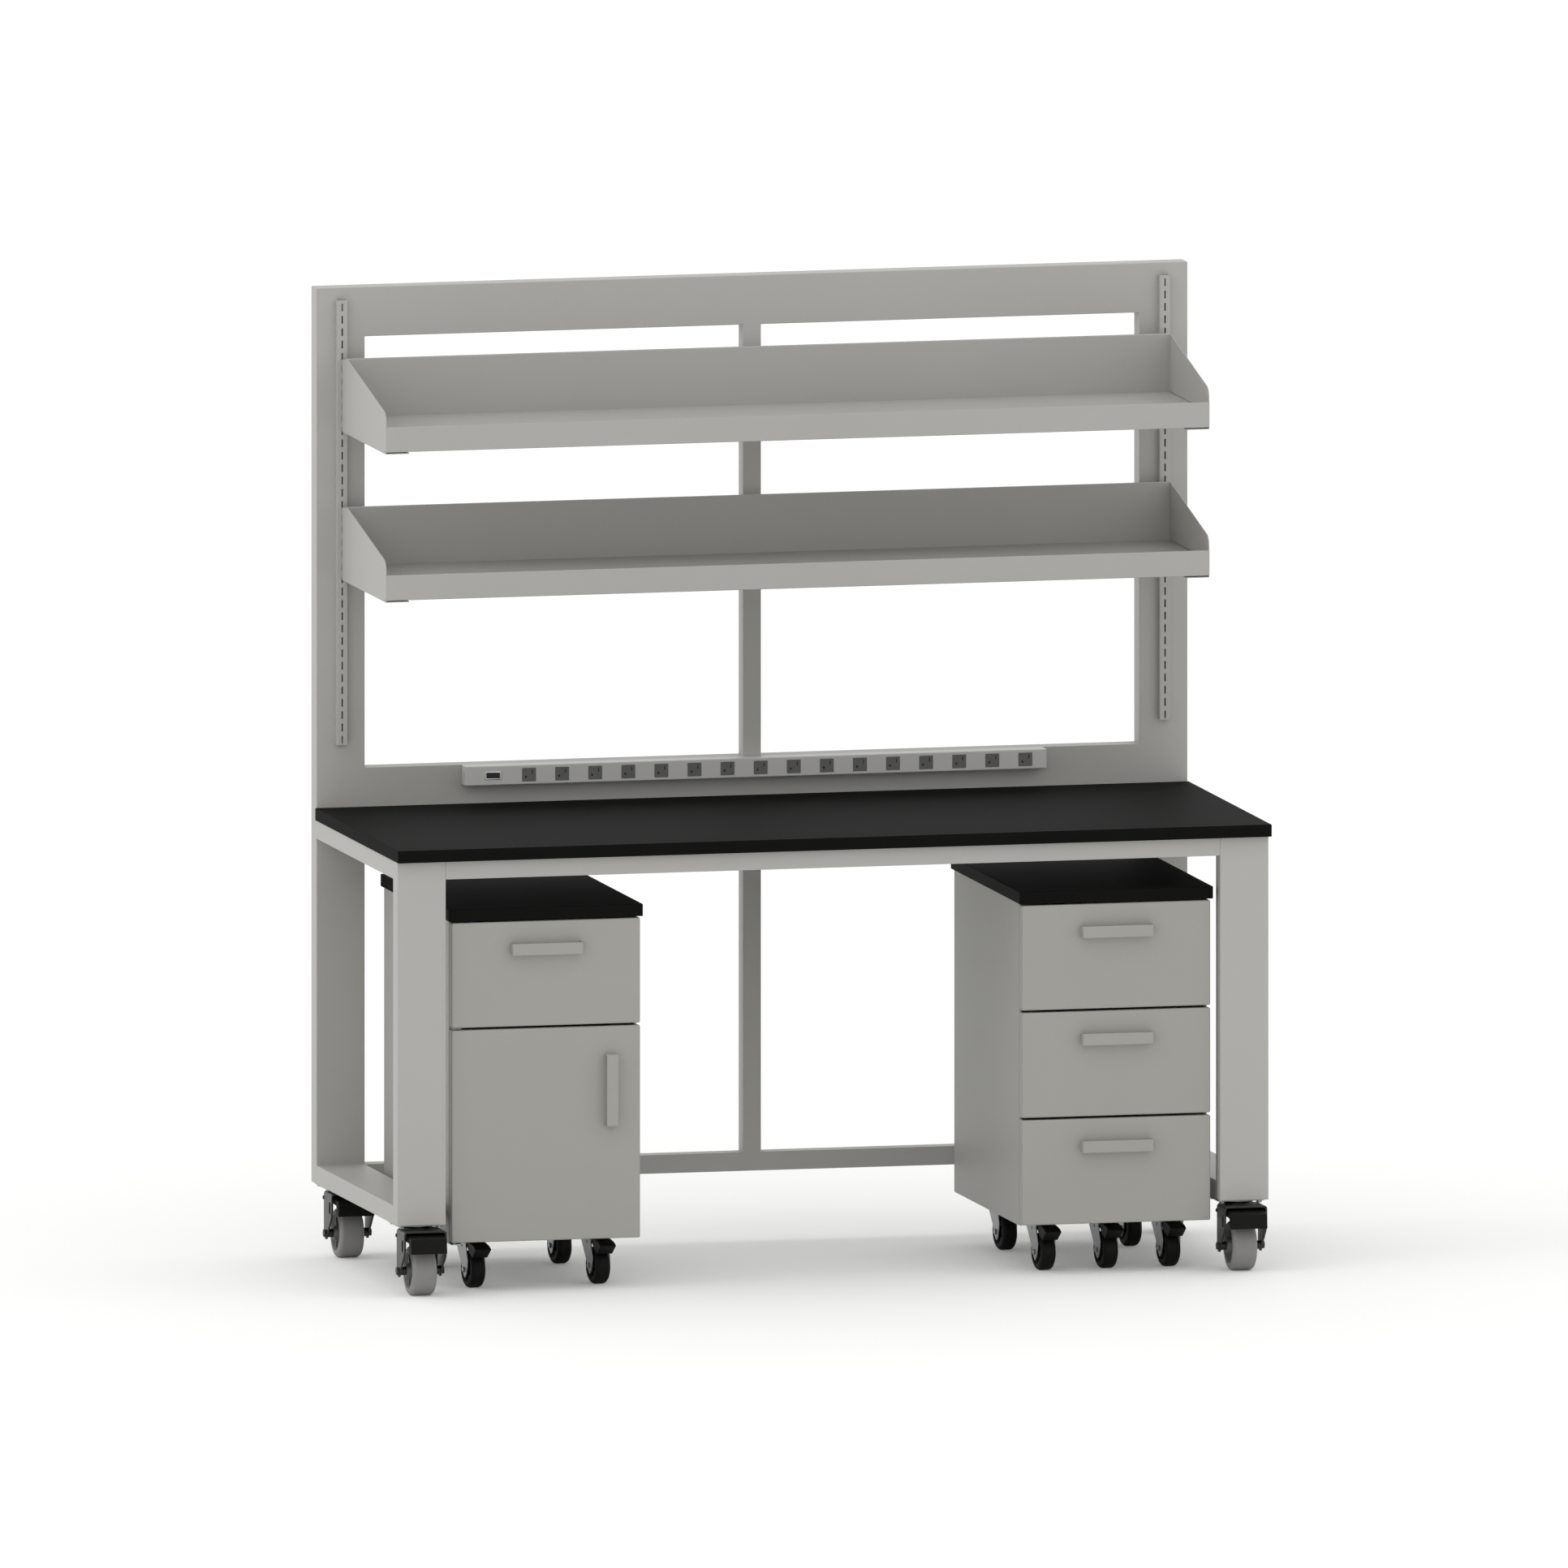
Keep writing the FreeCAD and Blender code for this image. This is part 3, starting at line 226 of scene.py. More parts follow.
def rounding(low: float, high: float, edges: Edges, steps: int = 4) -> tuple[Array, Array]:
    """Stations along an axis and how far the outline is drawn in at each, for quarter-round ends.

    At the angle a from the end face, the station lies edge * (1 - cos a) from the end and the outline is
    drawn in by edge * (1 - sin a).

    Args:
        low: Station of the first end.
        high: Station of the last end.
        edges: Radius of the rounded ends, one or both.
        steps: Stations at each end.

    Returns:
        The stations, and how far the outline is drawn in at each.
    """
    first, last = edges if isinstance(edges, tuple) else (edges, edges)
    angle = np.linspace(0, np.pi / 2, steps)
    apart, drawn = 1 - np.cos(angle), 1 - np.sin(angle)
    stations = np.concatenate((low + first * apart, high - last * apart[::-1]))
    return stations, np.concatenate((first * drawn, last * drawn[::-1]))


def prism(outline: Array, low: float, high: float, axis: Axis, edges: Edges = 0.4) -> Surface:
    """Outline carried along an axis between two ends that are rounded over.

    Args:
        outline: Closed outline (n, 2).
        low: Station of the first end.
        high: Station of the last end.
        axis: Axis that the outline is carried along.
        edges: Radius of the rounded ends, one or both.

    Returns:
        The closed surface.
    """
    rows = [axis.points(inwards(outline, inset), station) for station, inset in zip(*rounding(low, high, edges))]
    return grid(np.stack(rows))


def flat_sheet(outline: Sequence[float], low: float, high: float, axis: Axis, corner: float = 0.4) -> Surface:
    """Sheet with cut edges: a rectangle (x0, x1, y0, y1) carried along an axis across its thickness."""
    return prism(rectangle(*outline, corner, 3), low, high, axis, CUT)


def welded(tubes: Sequence[tuple[float, ...]]) -> Surface:
    """Common skin of boxes that touch, as tubes welded together and ground flush.

    The planes of all boxes cut space into cells. A cell is filled where a box covers its middle, and each wall
    between a filled and an empty cell becomes a quad.

    Args:
        tubes: Boxes (x0, x1, y0, y1, z0, z1).

    Returns:
        The skin.
    """
    boxes = np.asarray(tubes, float).reshape(-1, 3, 2)
    cuts = [np.unique(boxes[:, axis]) for axis in range(3)]
    inside = [(boxes[:, axis, :1] < middle) & (middle < boxes[:, axis, 1:])
              for axis, middle in enumerate((cut[1:] + cut[:-1]) / 2 for cut in cuts)]
    filled = (inside[0][:, :, None, None] & inside[1][:, None, :, None] & inside[2][:, None, None, :]).any(axis=0)
    shape = tuple(len(cut) for cut in cuts)
    quads = []
    for axis in range(3):
        across = np.delete(np.eye(3, dtype=int), axis, axis=0)
        around = np.pad(filled.astype(int), [(int(other == axis),) * 2 for other in range(3)])
        cells = np.argwhere(np.diff(around, axis=axis))
        corners = cells[:, None] + np.array([[0, 0, 0], across[0], across[0] + across[1], across[1]])
        quads.append(np.ravel_multi_index(tuple(np.moveaxis(corners, -1, 0)), shape))
    used, numbered = np.unique(np.vstack(quads), return_inverse=True)
    points = np.stack(np.meshgrid(*cuts, indexing="ij"), axis=-1).reshape(-1, 3)
    return Surface(points[used], numbered.reshape(-1, 4))


def folded(path: Sequence[Spot], thickness: float, bend: float, cut: float = BROKEN) -> Array:
    """Closed outline of a sheet folded along an open path, with the sheet on the left of the path.

    The far side is the path moved by the mitre (n1 + n2) / (1 + n1 . n2) * thickness at each corner, where n1
    and n2 are the left normals of its two runs. The inner side of a bend has the radius bend, the outer side
    bend + thickness.

    Args:
        path: Corners of the path.
        thickness: Sheet thickness.
        bend: Inner bend radius.
        cut: Radius of the cut edges.

    Returns:
        Closed outline (n, 2).
    """
    spots = np.asarray(path, float)
    runs = unit(np.diff(spots, axis=0))
    normals = np.column_stack((-runs[:, 1], runs[:, 0]))
    before = np.vstack((normals[:1], normals))
    after = np.vstack((normals, normals[-1:]))
    mitre = (before + after) / (1 + (before * after).sum(axis=1, keepdims=True))
    far = spots + mitre * thickness
    turn = runs[:-1, 0] * runs[1:, 1] - runs[:-1, 1] * runs[1:, 0]
    near_radii = np.concatenate(([cut], np.where(turn > 0, bend + thickness, bend), [cut]))
    far_radii = np.concatenate(([cut], np.where(turn > 0, bend, bend + thickness), [cut]))
    return rounded(np.vstack((spots, far[::-1])), np.concatenate((near_radii, far_radii[::-1])), 6)


def lathe(section: Array, axis: Axis, centre: Spot, segments: int = 64) -> Surface:
    """Closed section of (station, radius) turned about a line parallel to an axis.

    Point (s, r) at the angle a lies at the station s and at centre + r * (cos a, sin a) across the axis.

    Args:
        section: Closed section (n, 2).
        axis: Axis that the line is parallel to.
        centre: Where the line crosses the other two axes.
        segments: Steps of a full turn.

    Returns:
        The closed surface.
    """
    angle = np.linspace(0, 2 * np.pi, segments + 1)[:, None]
    station, radius = section.T
    across = np.stack((centre[0] + radius * np.cos(angle), centre[1] + radius * np.sin(angle)), axis=-1)
    return grid(axis.points(across, np.broadcast_to(station, across.shape[:-1])), capped=False)


def pierced(outline: Array, holes: Sequence[Array], low: float, high: float, axis: Axis,
            edges: Edges) -> Surface:
    """Plate with holes: the outline and each hole carried along an axis, with triangles between them.

    A triangle whose three corners lie on one hole fills that hole, so it is left out.

    Args:
        outline: Closed outline of the plate.
        holes: Closed convex outlines of the holes.
        low: Station of the first face.
        high: Station of the last face.
        axis: Axis across the plate.
        edges: Radius of the edges at each face, one or both.

    Returns:
        The closed surface.
    """
    places = list(zip(*rounding(low, high, edges)))
    loops = [(outline, 1)] + [(hole, -1) for hole in holes]
    walls = [grid(np.stack([axis.points(inwards(loop, way * inset), at) for at, inset in places]), capped=False)
             for loop, way in loops]
    faces = []
    for at, inset in (places[0], places[-1]):
        flat = [inwards(loop, way * inset) for loop, way in loops]
        loop_of = np.repeat(np.arange(len(flat)), [len(loop) for loop in flat])
        number = np.arange(len(loop_of))
        after = np.concatenate([np.roll(number[loop_of == loop], -1) for loop in range(len(flat))])
        spots, _, triangles, *_ = delaunay_2d_cdt([Vector(spot) for spot in np.vstack(flat)],
                                                  np.column_stack((number, after)).tolist(), [], FILL_INSIDE,
                                                  SAME_SPOT)
        corners = np.array(triangles)
        loops_met = loop_of[corners]
        filling = (loops_met == loops_met[:, :1]).all(axis=1) & (loops_met[:, 0] > 0)
        faces.append(Surface(axis.points(np.array(spots), at), np.empty((0, 4), int), list(corners[~filling])))
    return joined(walls + faces)


def strap(path: Array, low: float | Array, high: float | Array, thickness: float, axis: Axis,
          edge: float) -> Surface:
    """Strap of even thickness that follows a flat path and lies on its left.

    At each point of the path the section is a rectangle with rounded corners: it spans low to high along the
    axis, and 0 to thickness along the path's left normal.

    Args:
        path: Points of the path (n, 2), with its bends already rounded.
        low: Where the strap begins along the axis, one value or one for each point.
        high: Where it ends.
        thickness: Thickness of the strap.
        axis: Axis across the path.
        edge: Radius of the long edges.

    Returns:
        The closed surface.
    """
    runs = unit(np.diff(path, axis=0))
    along = unit(np.vstack((runs[:1], runs)) + np.vstack((runs, runs[-1:])))
    normal = np.column_stack((-along[:, 1], along[:, 0]))
    turn = rectangle(-edge, edge, -edge, edge, edge, 4).reshape(4, -1, 2)
    width = np.stack([np.broadcast_to(end, len(path)) for end in (low + edge, high - edge)], axis=-1)
    spans = width[:, [0, 1, 1, 0], None] + turn[..., 0]
    depths = np.array([edge, edge, thickness - edge, thickness - edge])[:, None] + turn[..., 1]
    flat = path[:, None] + normal[:, None] * depths.reshape(1, -1, 1)
    return grid(axis.points(flat, spans.reshape(len(path), -1)))


def bent(path: Sequence[Spot], radius: float, steps: int = 7) -> Array:
    """Open path whose inner corners turn on arcs."""
    arcs = rounded(path, radius, steps).reshape(len(path), steps, 2)[1:-1]
    return np.vstack((path[:1], arcs.reshape(-1, 2), path[-1:]))


# Finishes

def linear(colour: str) -> tuple[float, float, float, float]:
    """Turn an sRGB colour to linear values: c / 12.92 up to 0.04045, ((c + 0.055) / 1.055) ** 2.4 above.

    Args:
        colour: Colour as "#RRGGBB".

    Returns:
        Red, green, blue and an alpha of 1.
    """
    parts = np.array([int(colour[at:at + 2], 16) for at in (1, 3, 5)]) / 255
    values = np.where(parts <= 0.04045, parts / 12.92, ((parts + 0.055) / 1.055) ** 2.4)
    return (*(float(value) for value in values), 1.0)


def add_node(tree: bpy.types.NodeTree, kind: str, inputs: dict | None = None, **settings: object) -> bpy.types.Node:
    """Add a node with its settings and links.

    Args:
        tree: Node tree.
        kind: Node type.
        inputs: Value, or socket to link, for each input.
        settings: Properties of the node.

    Returns:
        The node.
    """
    node = tree.nodes.new(kind)
    for name, value in settings.items():
        setattr(node, name, value)
    for socket, value in (inputs or {}).items():
        if isinstance(value, bpy.types.NodeSocket):
            tree.links.new(value, node.inputs[socket])
        else:
            node.inputs[socket].default_value = value
    return node


def per_metre(size: float) -> float:
    """Scale of a noise whose features are about a size in millimetres."""
    return 1 / (size * MM)


@dataclass(frozen=True)
class Finish:
    """Surface of a real material: its colour drifts slowly, its gloss follows a second pattern, and it has a grain.

    Attributes:
        name: Name of the material.
        colour: sRGB colour where it is palest.
        deep: sRGB colour where it is deepest.
        roughness: Middle roughness.
        spread: How far the roughness goes to each side.
        cloud: Size of the colour drift in millimetres.
        grain: Size of the surface grain in millimetres.
        depth: Height of the grain in millimetres.
        metallic: Whether it is bare metal.
        specular: Specular level.
        stretch: How far the grain is drawn out along X, as by rolling or brushing.
    """

    name: str
    colour: str
    deep: str
    roughness: float
    spread: float = 0.04
    cloud: float = 260.0
    grain: float = 2.5
    depth: float = 0.02
    metallic: float = 0.0
    specular: float = 0.5
    stretch: float = 1.0

    def material(self) -> bpy.types.Material:
        """Build the material from two noises on Object coordinates.

        Returns:
            The material.
        """
        made = bpy.data.materials.new(self.name)
        made.use_nodes = True
        tree = made.node_tree
        tree.nodes.clear()
        place = add_node(tree, "ShaderNodeTexCoord").outputs["Object"]
        cloud = add_node(tree, "ShaderNodeTexNoise", {"Vector": place, "Scale": per_metre(self.cloud), "Detail": 3.0,
                                                      "Roughness": 0.55}).outputs[0]
        drawn = add_node(tree, "ShaderNodeMapping", {"Vector": place, "Scale": (1 / self.stretch, 1.0, 1.0)})
        grain = add_node(tree, "ShaderNodeTexNoise", {"Vector": drawn.outputs[0], "Scale": per_metre(self.grain),
                                                      "Detail": 2.0, "Roughness": 0.6}).outputs[0]
        colour = add_node(tree, "ShaderNodeMix", {0: cloud, 6: linear(self.deep), 7: linear(self.colour)},
                          data_type="RGBA").outputs[2]
        gloss = add_node(tree, "ShaderNodeMapRange", {"Value": grain, "To Min": self.roughness - self.spread,
                                                      "To Max": self.roughness + self.spread}).outputs[0]
        bump = add_node(tree, "ShaderNodeBump", {"Height": grain, "Strength": 0.6,
                                                 "Distance": self.depth * MM}).outputs[0]
        shader = add_node(tree, "ShaderNodeBsdfPrincipled",
                          {"Base Color": colour, "Roughness": gloss, "Normal": bump, "Metallic": self.metallic,
                           "Specular IOR Level": self.specular}).outputs[0]
        add_node(tree, "ShaderNodeOutputMaterial", {"Surface": shader})
        return made


class Slot(Enum):
    """Finishes of the bench, each under its slot name in the record."""

    # Polyester powder coat on steel tube: satin, with a faint orange peel drawn coarser than the real 1 mm.
    FRAME = ("frame_paint", Finish("powder_coated_steel_tube", "#B0AFAB", "#AAA9A5", 0.5))
    # The same powder coat on thin folded sheet, a little smoother.
    SHELF = ("shelf_paint", Finish("powder_coated_sheet_steel", "#ACABA7", "#A6A5A1", 0.48, grain=2.0))
    # Slightly darker, warmer coat of the pedestals.
    PEDESTAL = ("pedestal_paint", Finish("powder_coated_cabinet_steel", "#A09F9A", "#9B9A95", 0.48, grain=2.0))
    # Cast epoxy resin: near black, ground matt, with a soft uneven sheen.
    WORKTOP = ("worktop_resin", Finish("cast_epoxy_resin", "#121211", "#0D0D0C", 0.68, spread=0.06, cloud=140.0,
                                       grain=1.5, depth=0.01, specular=0.05))
    # Extruded aluminium, satin anodised: fine lines along the rail.
    RAIL = ("rail_aluminium", Finish("satin_anodised_aluminium", "#C6C5C2", "#BFBEBB", 0.42, grain=1.2, stretch=12.0))
    # Injection-moulded polycarbonate with a spark-eroded matt skin.
    OUTLET = ("outlet_plastic", Finish("moulded_polycarbonate", "#6A6A68", "#5E5E5C", 0.55, cloud=30.0, grain=1.0))
    # Glossier moulded nylon of the rocker, whose black also stands as painted shade in the outlets' holes.
    SWITCH = ("switch_plastic", Finish("moulded_nylon_rocker", "#1C1C1C", "#161616", 0.35, cloud=20.0, grain=1.0))
    # Bright zinc plate on pressed steel.
    ZINC = ("zinc_steel", Finish("zinc_plated_steel", "#ABACAD", "#989A9B", 0.38, spread=0.08, cloud=12.0, grain=1.5,
                                 metallic=1.0))
    # Brighter zinc of the bezel around the switch.
    BRIGHT = ("zinc_steel", Finish("bright_chromed_bezel", "#F2F2F2", "#E8E8E8", 0.22, cloud=12.0, grain=1.0,
                                   metallic=1.0))
    # Black-passivated steel of the bench forks: nearly black, with a sheen where it is seen edge on.
    DARK_STEEL = ("zinc_steel", Finish("black_passivated_steel", "#1D1D1C", "#171716", 0.34, cloud=15.0, grain=1.5))
    # Thermoplastic rubber, moulded grey.
    GREY_TREAD = ("grey_tread", Finish("grey_thermoplastic_rubber", "#898885", "#7F7E7C", 0.6, cloud=25.0, grain=1.2))
    # Darker polypropylene of the bench wheels' hubs.
    GREY_HUB = ("grey_tread", Finish("grey_polypropylene_hub", "#626160", "#585756", 0.5, cloud=25.0, grain=1.2))
    # Black polyurethane tread and hub.
    BLACK_TREAD = ("black_tread", Finish("black_polyurethane", "#111110", "#0C0C0B", 0.5, cloud=20.0, grain=1.2,
                                         specular=0.12))
    # Glass-filled nylon pedals: black, with the fine even grain of the mould.
    PEDAL = ("pedal_black", Finish("glass_filled_nylon", "#121211", "#0D0D0C", 0.45, cloud=15.0, grain=0.9,
                                   specular=0.12))

    def __init__(self, slot: str, finish: Finish) -> None:
        """Keep the slot name and the finish."""
        self.slot = slot
        self.finish = finish


class Palette:
    """Materials made once for each finish."""

    def __init__(self) -> None:
        """Build every material."""
        self.materials = {slot: slot.finish.material() for slot in Slot}

    def dress(self, node: str, slot: Slot) -> None:
        """Give a node that is shown as it is its material.

        Args:
            node: Name of the node.
            slot: Its finish.
        """
        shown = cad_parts[node]
        shown.data.materials.clear()
        shown.data.materials.append(self.materials[slot])
        LOG.info("dressed %s as %s", node, slot.finish.name)

    def piece(self, name: str, surface: Surface, body: str, slot: Slot, nodes: Sequence[str] = (),
              sharp: float = 35.0, bevel: float = 0.0) -> bpy.types.Object:
        """Make a surface into a piece that rides on a body.

        Args:
            name: Name of the piece.
            surface: Its surface.
            body: Body that it moves with.
            slot: Its finish.
            nodes: Nodes that it stands for.
            sharp: Angle in degrees from which an edge stays sharp.
            bevel: Width in millimetres by which every edge is rounded.

        Returns:
            The object.
        """
        mesh = bpy.data.meshes.new(name)
        faces = surface.quads.tolist() + [polygon.tolist() for polygon in surface.polygons]
        mesh.from_pydata((surface.points * MM).tolist(), [], faces)
        shell = bmesh.new()
        shell.from_mesh(mesh)
        bmesh.ops.remove_doubles(shell, verts=shell.verts, dist=MERGED)
        bmesh.ops.dissolve_degenerate(shell, edges=shell.edges, dist=SHORTEST)
        bmesh.ops.recalc_face_normals(shell, faces=shell.faces)
        shell.to_mesh(mesh)
        shell.free()
        mesh.shade_smooth()
        mesh.set_sharp_from_angle(angle=math.radians(sharp))
        mesh.materials.append(self.materials[slot])
        made = bpy.data.objects.new(name, mesh)
        bpy.context.scene.collection.objects.link(made)
        if bevel:
            rounded_edges = made.modifiers.new("rounded_edges", "BEVEL")
            rounded_edges.width = bevel * MM
            rounded_edges.segments = 3
            rounded_edges.limit_method = "ANGLE"
            rounded_edges.use_clamp_overlap = False
        level_faces = made.modifiers.new("level_faces", "WEIGHTED_NORMAL")
        level_faces.keep_sharp = True
        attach(made, body)
        if nodes:
            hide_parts(*nodes)
        LOG.info("made %s on %s, %d faces", name, body, len(mesh.polygons))
        return made


def extent(node: str) -> tuple[Array, Array]:
    """Lowest and highest corner of a node in millimetres."""
    low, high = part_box(node)
    return np.array(low) / MM, np.array(high) / MM


# Bench

@dataclass
class BenchFrame:
    """Welded tube frame with a bolted front rail, and two slotted standards on its posts."""

    post: float = 101.6
    small: float = 38.1
    middle_top: float = 999.5
    edge: float = 1.2

    def build(self, palette: Palette) -> None:
        """Make the welded frame, its front rail and the standards.

        Args:
            palette: Finishes of the bench.
        """
        low, high = extent("rear_frame")
        base_low, base_high = extent("base_frame")
        inner = high[0] - self.post
        front, top = base_low[1], base_high[2]
        right = self.side_tubes(front, low[1], low[2], top, inner, high[0])
        left = [(-x1, -x0, *rest) for x0, x1, *rest in right]
        palette.piece("bench_frame_welded", welded(self.rear_tubes(low, high, inner) + right + left), "bench",
                      Slot.FRAME, ["rear_frame", "base_frame"], bevel=self.edge)
        rail = [(-inner, inner, front, front + self.small, top - self.small, top)]
        palette.piece("bench_front_rail", welded(rail), "bench", Slot.FRAME, ["base_frame"], bevel=self.edge)
        low, high = extent("shelf_standards")
        standard = Standard().surface(low, high)
        palette.piece("shelf_standards_slotted", standard + standard.mirrored(), "bench", Slot.FRAME,
                      ["shelf_standards"])

    def rear_tubes(self, low: Array, high: Array, inner: float) -> list[tuple[float, ...]]:
        """Posts, top and middle rails of the deep tube, bottom rail and centre post of the small one.

        Args:
            low: Lowest corner of the rear frame.
            high: Its highest corner.
            inner: Inner face of the right post.

        Returns:
            Boxes (x0, x1, y0, y1, z0, z1).
        """
        front = low[1]
        behind = front + self.small
        half = self.small / 2
        posts = [(side, side + self.post, front, high[1], low[2], high[2]) for side in (-high[0], inner)]
        rails = [(-inner, inner, front, high[1], top - self.post, top) for top in (self.middle_top, high[2])]
        bottom = (-inner, inner, front, behind, low[2], low[2] + self.small)
        centre = [(-half, half, front, behind, low[2], self.middle_top - self.post),
                  (-half, half, front, behind, self.middle_top, high[2] - self.post)]
        return posts + rails + [bottom] + centre

    def side_tubes(self, front: float, back: float, base: float, top: float, inner: float,
                   outer: float) -> list[tuple[float, ...]]:
        """Leg, upper rail and wide lower rail of the right side.

        Args:
            front: Front of the leg.
            back: Rear end of the rails.
            base: Bottom of the lower rail.
            top: Top of the upper rail.
            inner: Inner face of the leg.
            outer: Outer face of the leg.

        Returns:
            Boxes (x0, x1, y0, y1, z0, z1).
        """
        leg = (inner, outer, front, front + self.small, base, top)
        upper = (outer - self.small, outer, front, back, top - self.small, top)
        lower = (inner, outer, front, back, base, base + self.small)
        return [leg, upper, lower]


@dataclass
class Standard:
    """Roll-formed channel with a column of round-ended slots."""

    width: float = 21.6
    wall: float = 2.0
    pitch: float = 25.4
    slot: float = 16.3
    slot_width: float = 3.0
    slot_radius: float = 1.4
    first_drop: float = 6.2
    count: int = 36
    corner: float = 0.9
    edge: float = 0.4

    def surface(self, low: Array, high: Array) -> Surface:
        """Slotted front and two side walls of the right standard.

        Args:
            low: Lowest corner of both standards.
            high: Their highest corner.

        Returns:
            The right standard.
        """
        x0, x1 = high[0] - self.width, high[0]
        middle = (x0 + x1) / 2
        half = self.slot_width / 2
        tops = high[2] - self.first_drop - self.pitch * np.arange(self.count)
        slots = [rectangle(middle - half, middle + half, top - self.slot, top, self.slot_radius) for top in tops]
        seam = low[1] + self.wall
        face = rectangle(x0, x1, low[2], high[2], self.corner, 3)
        front = pierced(face, slots, low[1], seam, Axis.Y, (self.edge, 0.0))
        walls = [prism(rectangle(x, x + self.wall, low[2], high[2], BROKEN, 3), seam, high[1], Axis.Y,
                       (0.0, BROKEN)) for x in (x0, x1 - self.wall)]
        return joined([front, *walls])


@dataclass
class Slab:
    """Cast resin slab with eased edges."""

    node: str
    body: str
    edge: float = 1.5

    def build(self, palette: Palette) -> None:
        """Carry the rounded section of the slab along X.

        Args:
            palette: Finishes of the bench.
        """
        low, high = extent(self.node)
        section = rectangle(low[1], high[1], low[2], high[2], self.edge, 4)
        palette.piece(self.node + "_slab", prism(section, low[0], high[0], Axis.X, self.edge), self.body,
                      Slot.WORKTOP, [self.node])


@dataclass
class Shelf:
    """Folded tray between two end brackets that hook into the standards."""

    level: str
    sheet: float = 1.5
    side_sheet: float = 1.8
    bend: float = 1.5
    side_height: float = 155.0
    hem: float = 9.0
    deck: float = 36.0
    lip_top: float = 56.0
    lip_bottom: float = 4.0
    lip_return: float = 13.0
    end_start: float = 14.0
    end_clear: float = 1.0
    slope: float = 12.1
    corners: tuple[float, ...] = (3.0, 2.0, 24.0, 6.0, 3.0)
    flange: float = 48.0
    hook_rise: float = 18.7
    hook_pitch: float = 101.6
    hook_reach: float = 6.0
    hook_neck: float = 3.5
    hook_drop: float = 6.0
    hook_height: float = 9.0

    def build(self, palette: Palette) -> None:
        """Make the tray and the brackets.

        Args:
            palette: Finishes of the bench.
        """
        body = self.level + "_shelf"
        tray, brackets = body + "_tray", body + "_brackets"
        tray_low, tray_high = extent(tray)
        side_low, side_high = extent(brackets)
        front, back, rear = tray_low[1], tray_high[1], side_high[1]
        base, outer = side_low[2], side_high[0]
        inner = outer - self.side_sheet
        palette.piece(tray + "_folded", self.tray(front, back, base, inner, outer), body, Slot.SHELF, [tray])
        right = self.side(front + self.sheet, back, rear, base, inner, outer)
        palette.piece(body + "_sides", right + right.mirrored(), body, Slot.SHELF, [brackets])

    def tray(self, front: float, back: float, base: float, inner: float, outer: float) -> Surface:
        """Deck, hemmed back, doubled front lip and end flanges.

        Args:
            front: Front of the lip.
            back: Rear end of the hem.
            base: Bottom of the brackets.
            inner: Inner face of the right bracket.
            outer: Outer face of the right bracket.

        Returns:
            The tray.
        """
        wall = back - self.hem
        top = base + self.side_height
        deck = base + self.deck
        stop = front + 2 * self.sheet
        main = folded([(stop, base + self.lip_top), (stop, deck), (wall, deck), (wall, top), (back, top)],
                      -self.sheet, self.bend)
        low = base + self.lip_bottom
        lip = folded([(front + self.lip_return, low), (front, low), (front, base + self.lip_top)], -self.sheet,
                     self.bend)
        right = flat_sheet((front + self.sheet + self.end_start, wall - self.end_clear, base + self.side_sheet, deck),
                           inner - self.sheet, inner, Axis.X, BROKEN)
        return joined([prism(main, -inner, inner, Axis.X, CUT), prism(lip, -outer, outer, Axis.X, BROKEN), right,
                       right.mirrored()])

    def side(self, front: float, back: float, rear: float, base: float, inner: float, outer: float) -> Surface:
        """Sloped side plate with its flange and hooks.

        Args:
            front: Front of the plate.
            back: Rear end of the tray's hem.
            rear: Rear end of the hooks.
            base: Bottom of the plate.
            inner: Inner face of the right plate.
            outer: Outer face of the right plate.

        Returns:
            The right bracket.
        """
        wall = back - self.hem
        plate_rear = rear - self.hook_reach
        drop = (wall - front) * math.tan(math.radians(self.slope))
        top = base + self.side_height
        outline = [(plate_rear, base), (front, base), (front, top - drop), (wall, top),
                   (plate_rear, top - self.hook_drop)]
        plate = prism(rounded(outline, self.corners, 9), inner, outer, Axis.X)
        flange = prism(rectangle(inner - self.flange, inner, front, plate_rear, self.corners[0]), base,
                       base + self.side_sheet, Axis.Z)
        hooks = [self.hook(rear, base + self.hook_rise + rise, inner, outer) for rise in (0, self.hook_pitch)]
        return joined([plate, flange, *hooks])

    def hook(self, rear: float, z: float, inner: float, outer: float) -> Surface:
        """Tab that passes through a slot and drops behind the wall of the standard.

        Args:
            rear: Rear end of the tab.
            z: Its lower edge, which rests in the slot.
            inner: Inner face of the right plate.
            outer: Outer face of the right plate.

        Returns:
            The tab.
        """
        root = rear - self.hook_reach - 1
        neck = rear - self.hook_neck
        outline = [(root, z), (neck, z), (neck, z - self.hook_drop), (rear, z - self.hook_drop + 1),
                   (rear, z + self.hook_height - 3), (rear - 3, z + self.hook_height), (root, z + self.hook_height)]
        return prism(rounded(outline, 0.6, 3), inner, outer, Axis.X, BROKEN)


# Casters

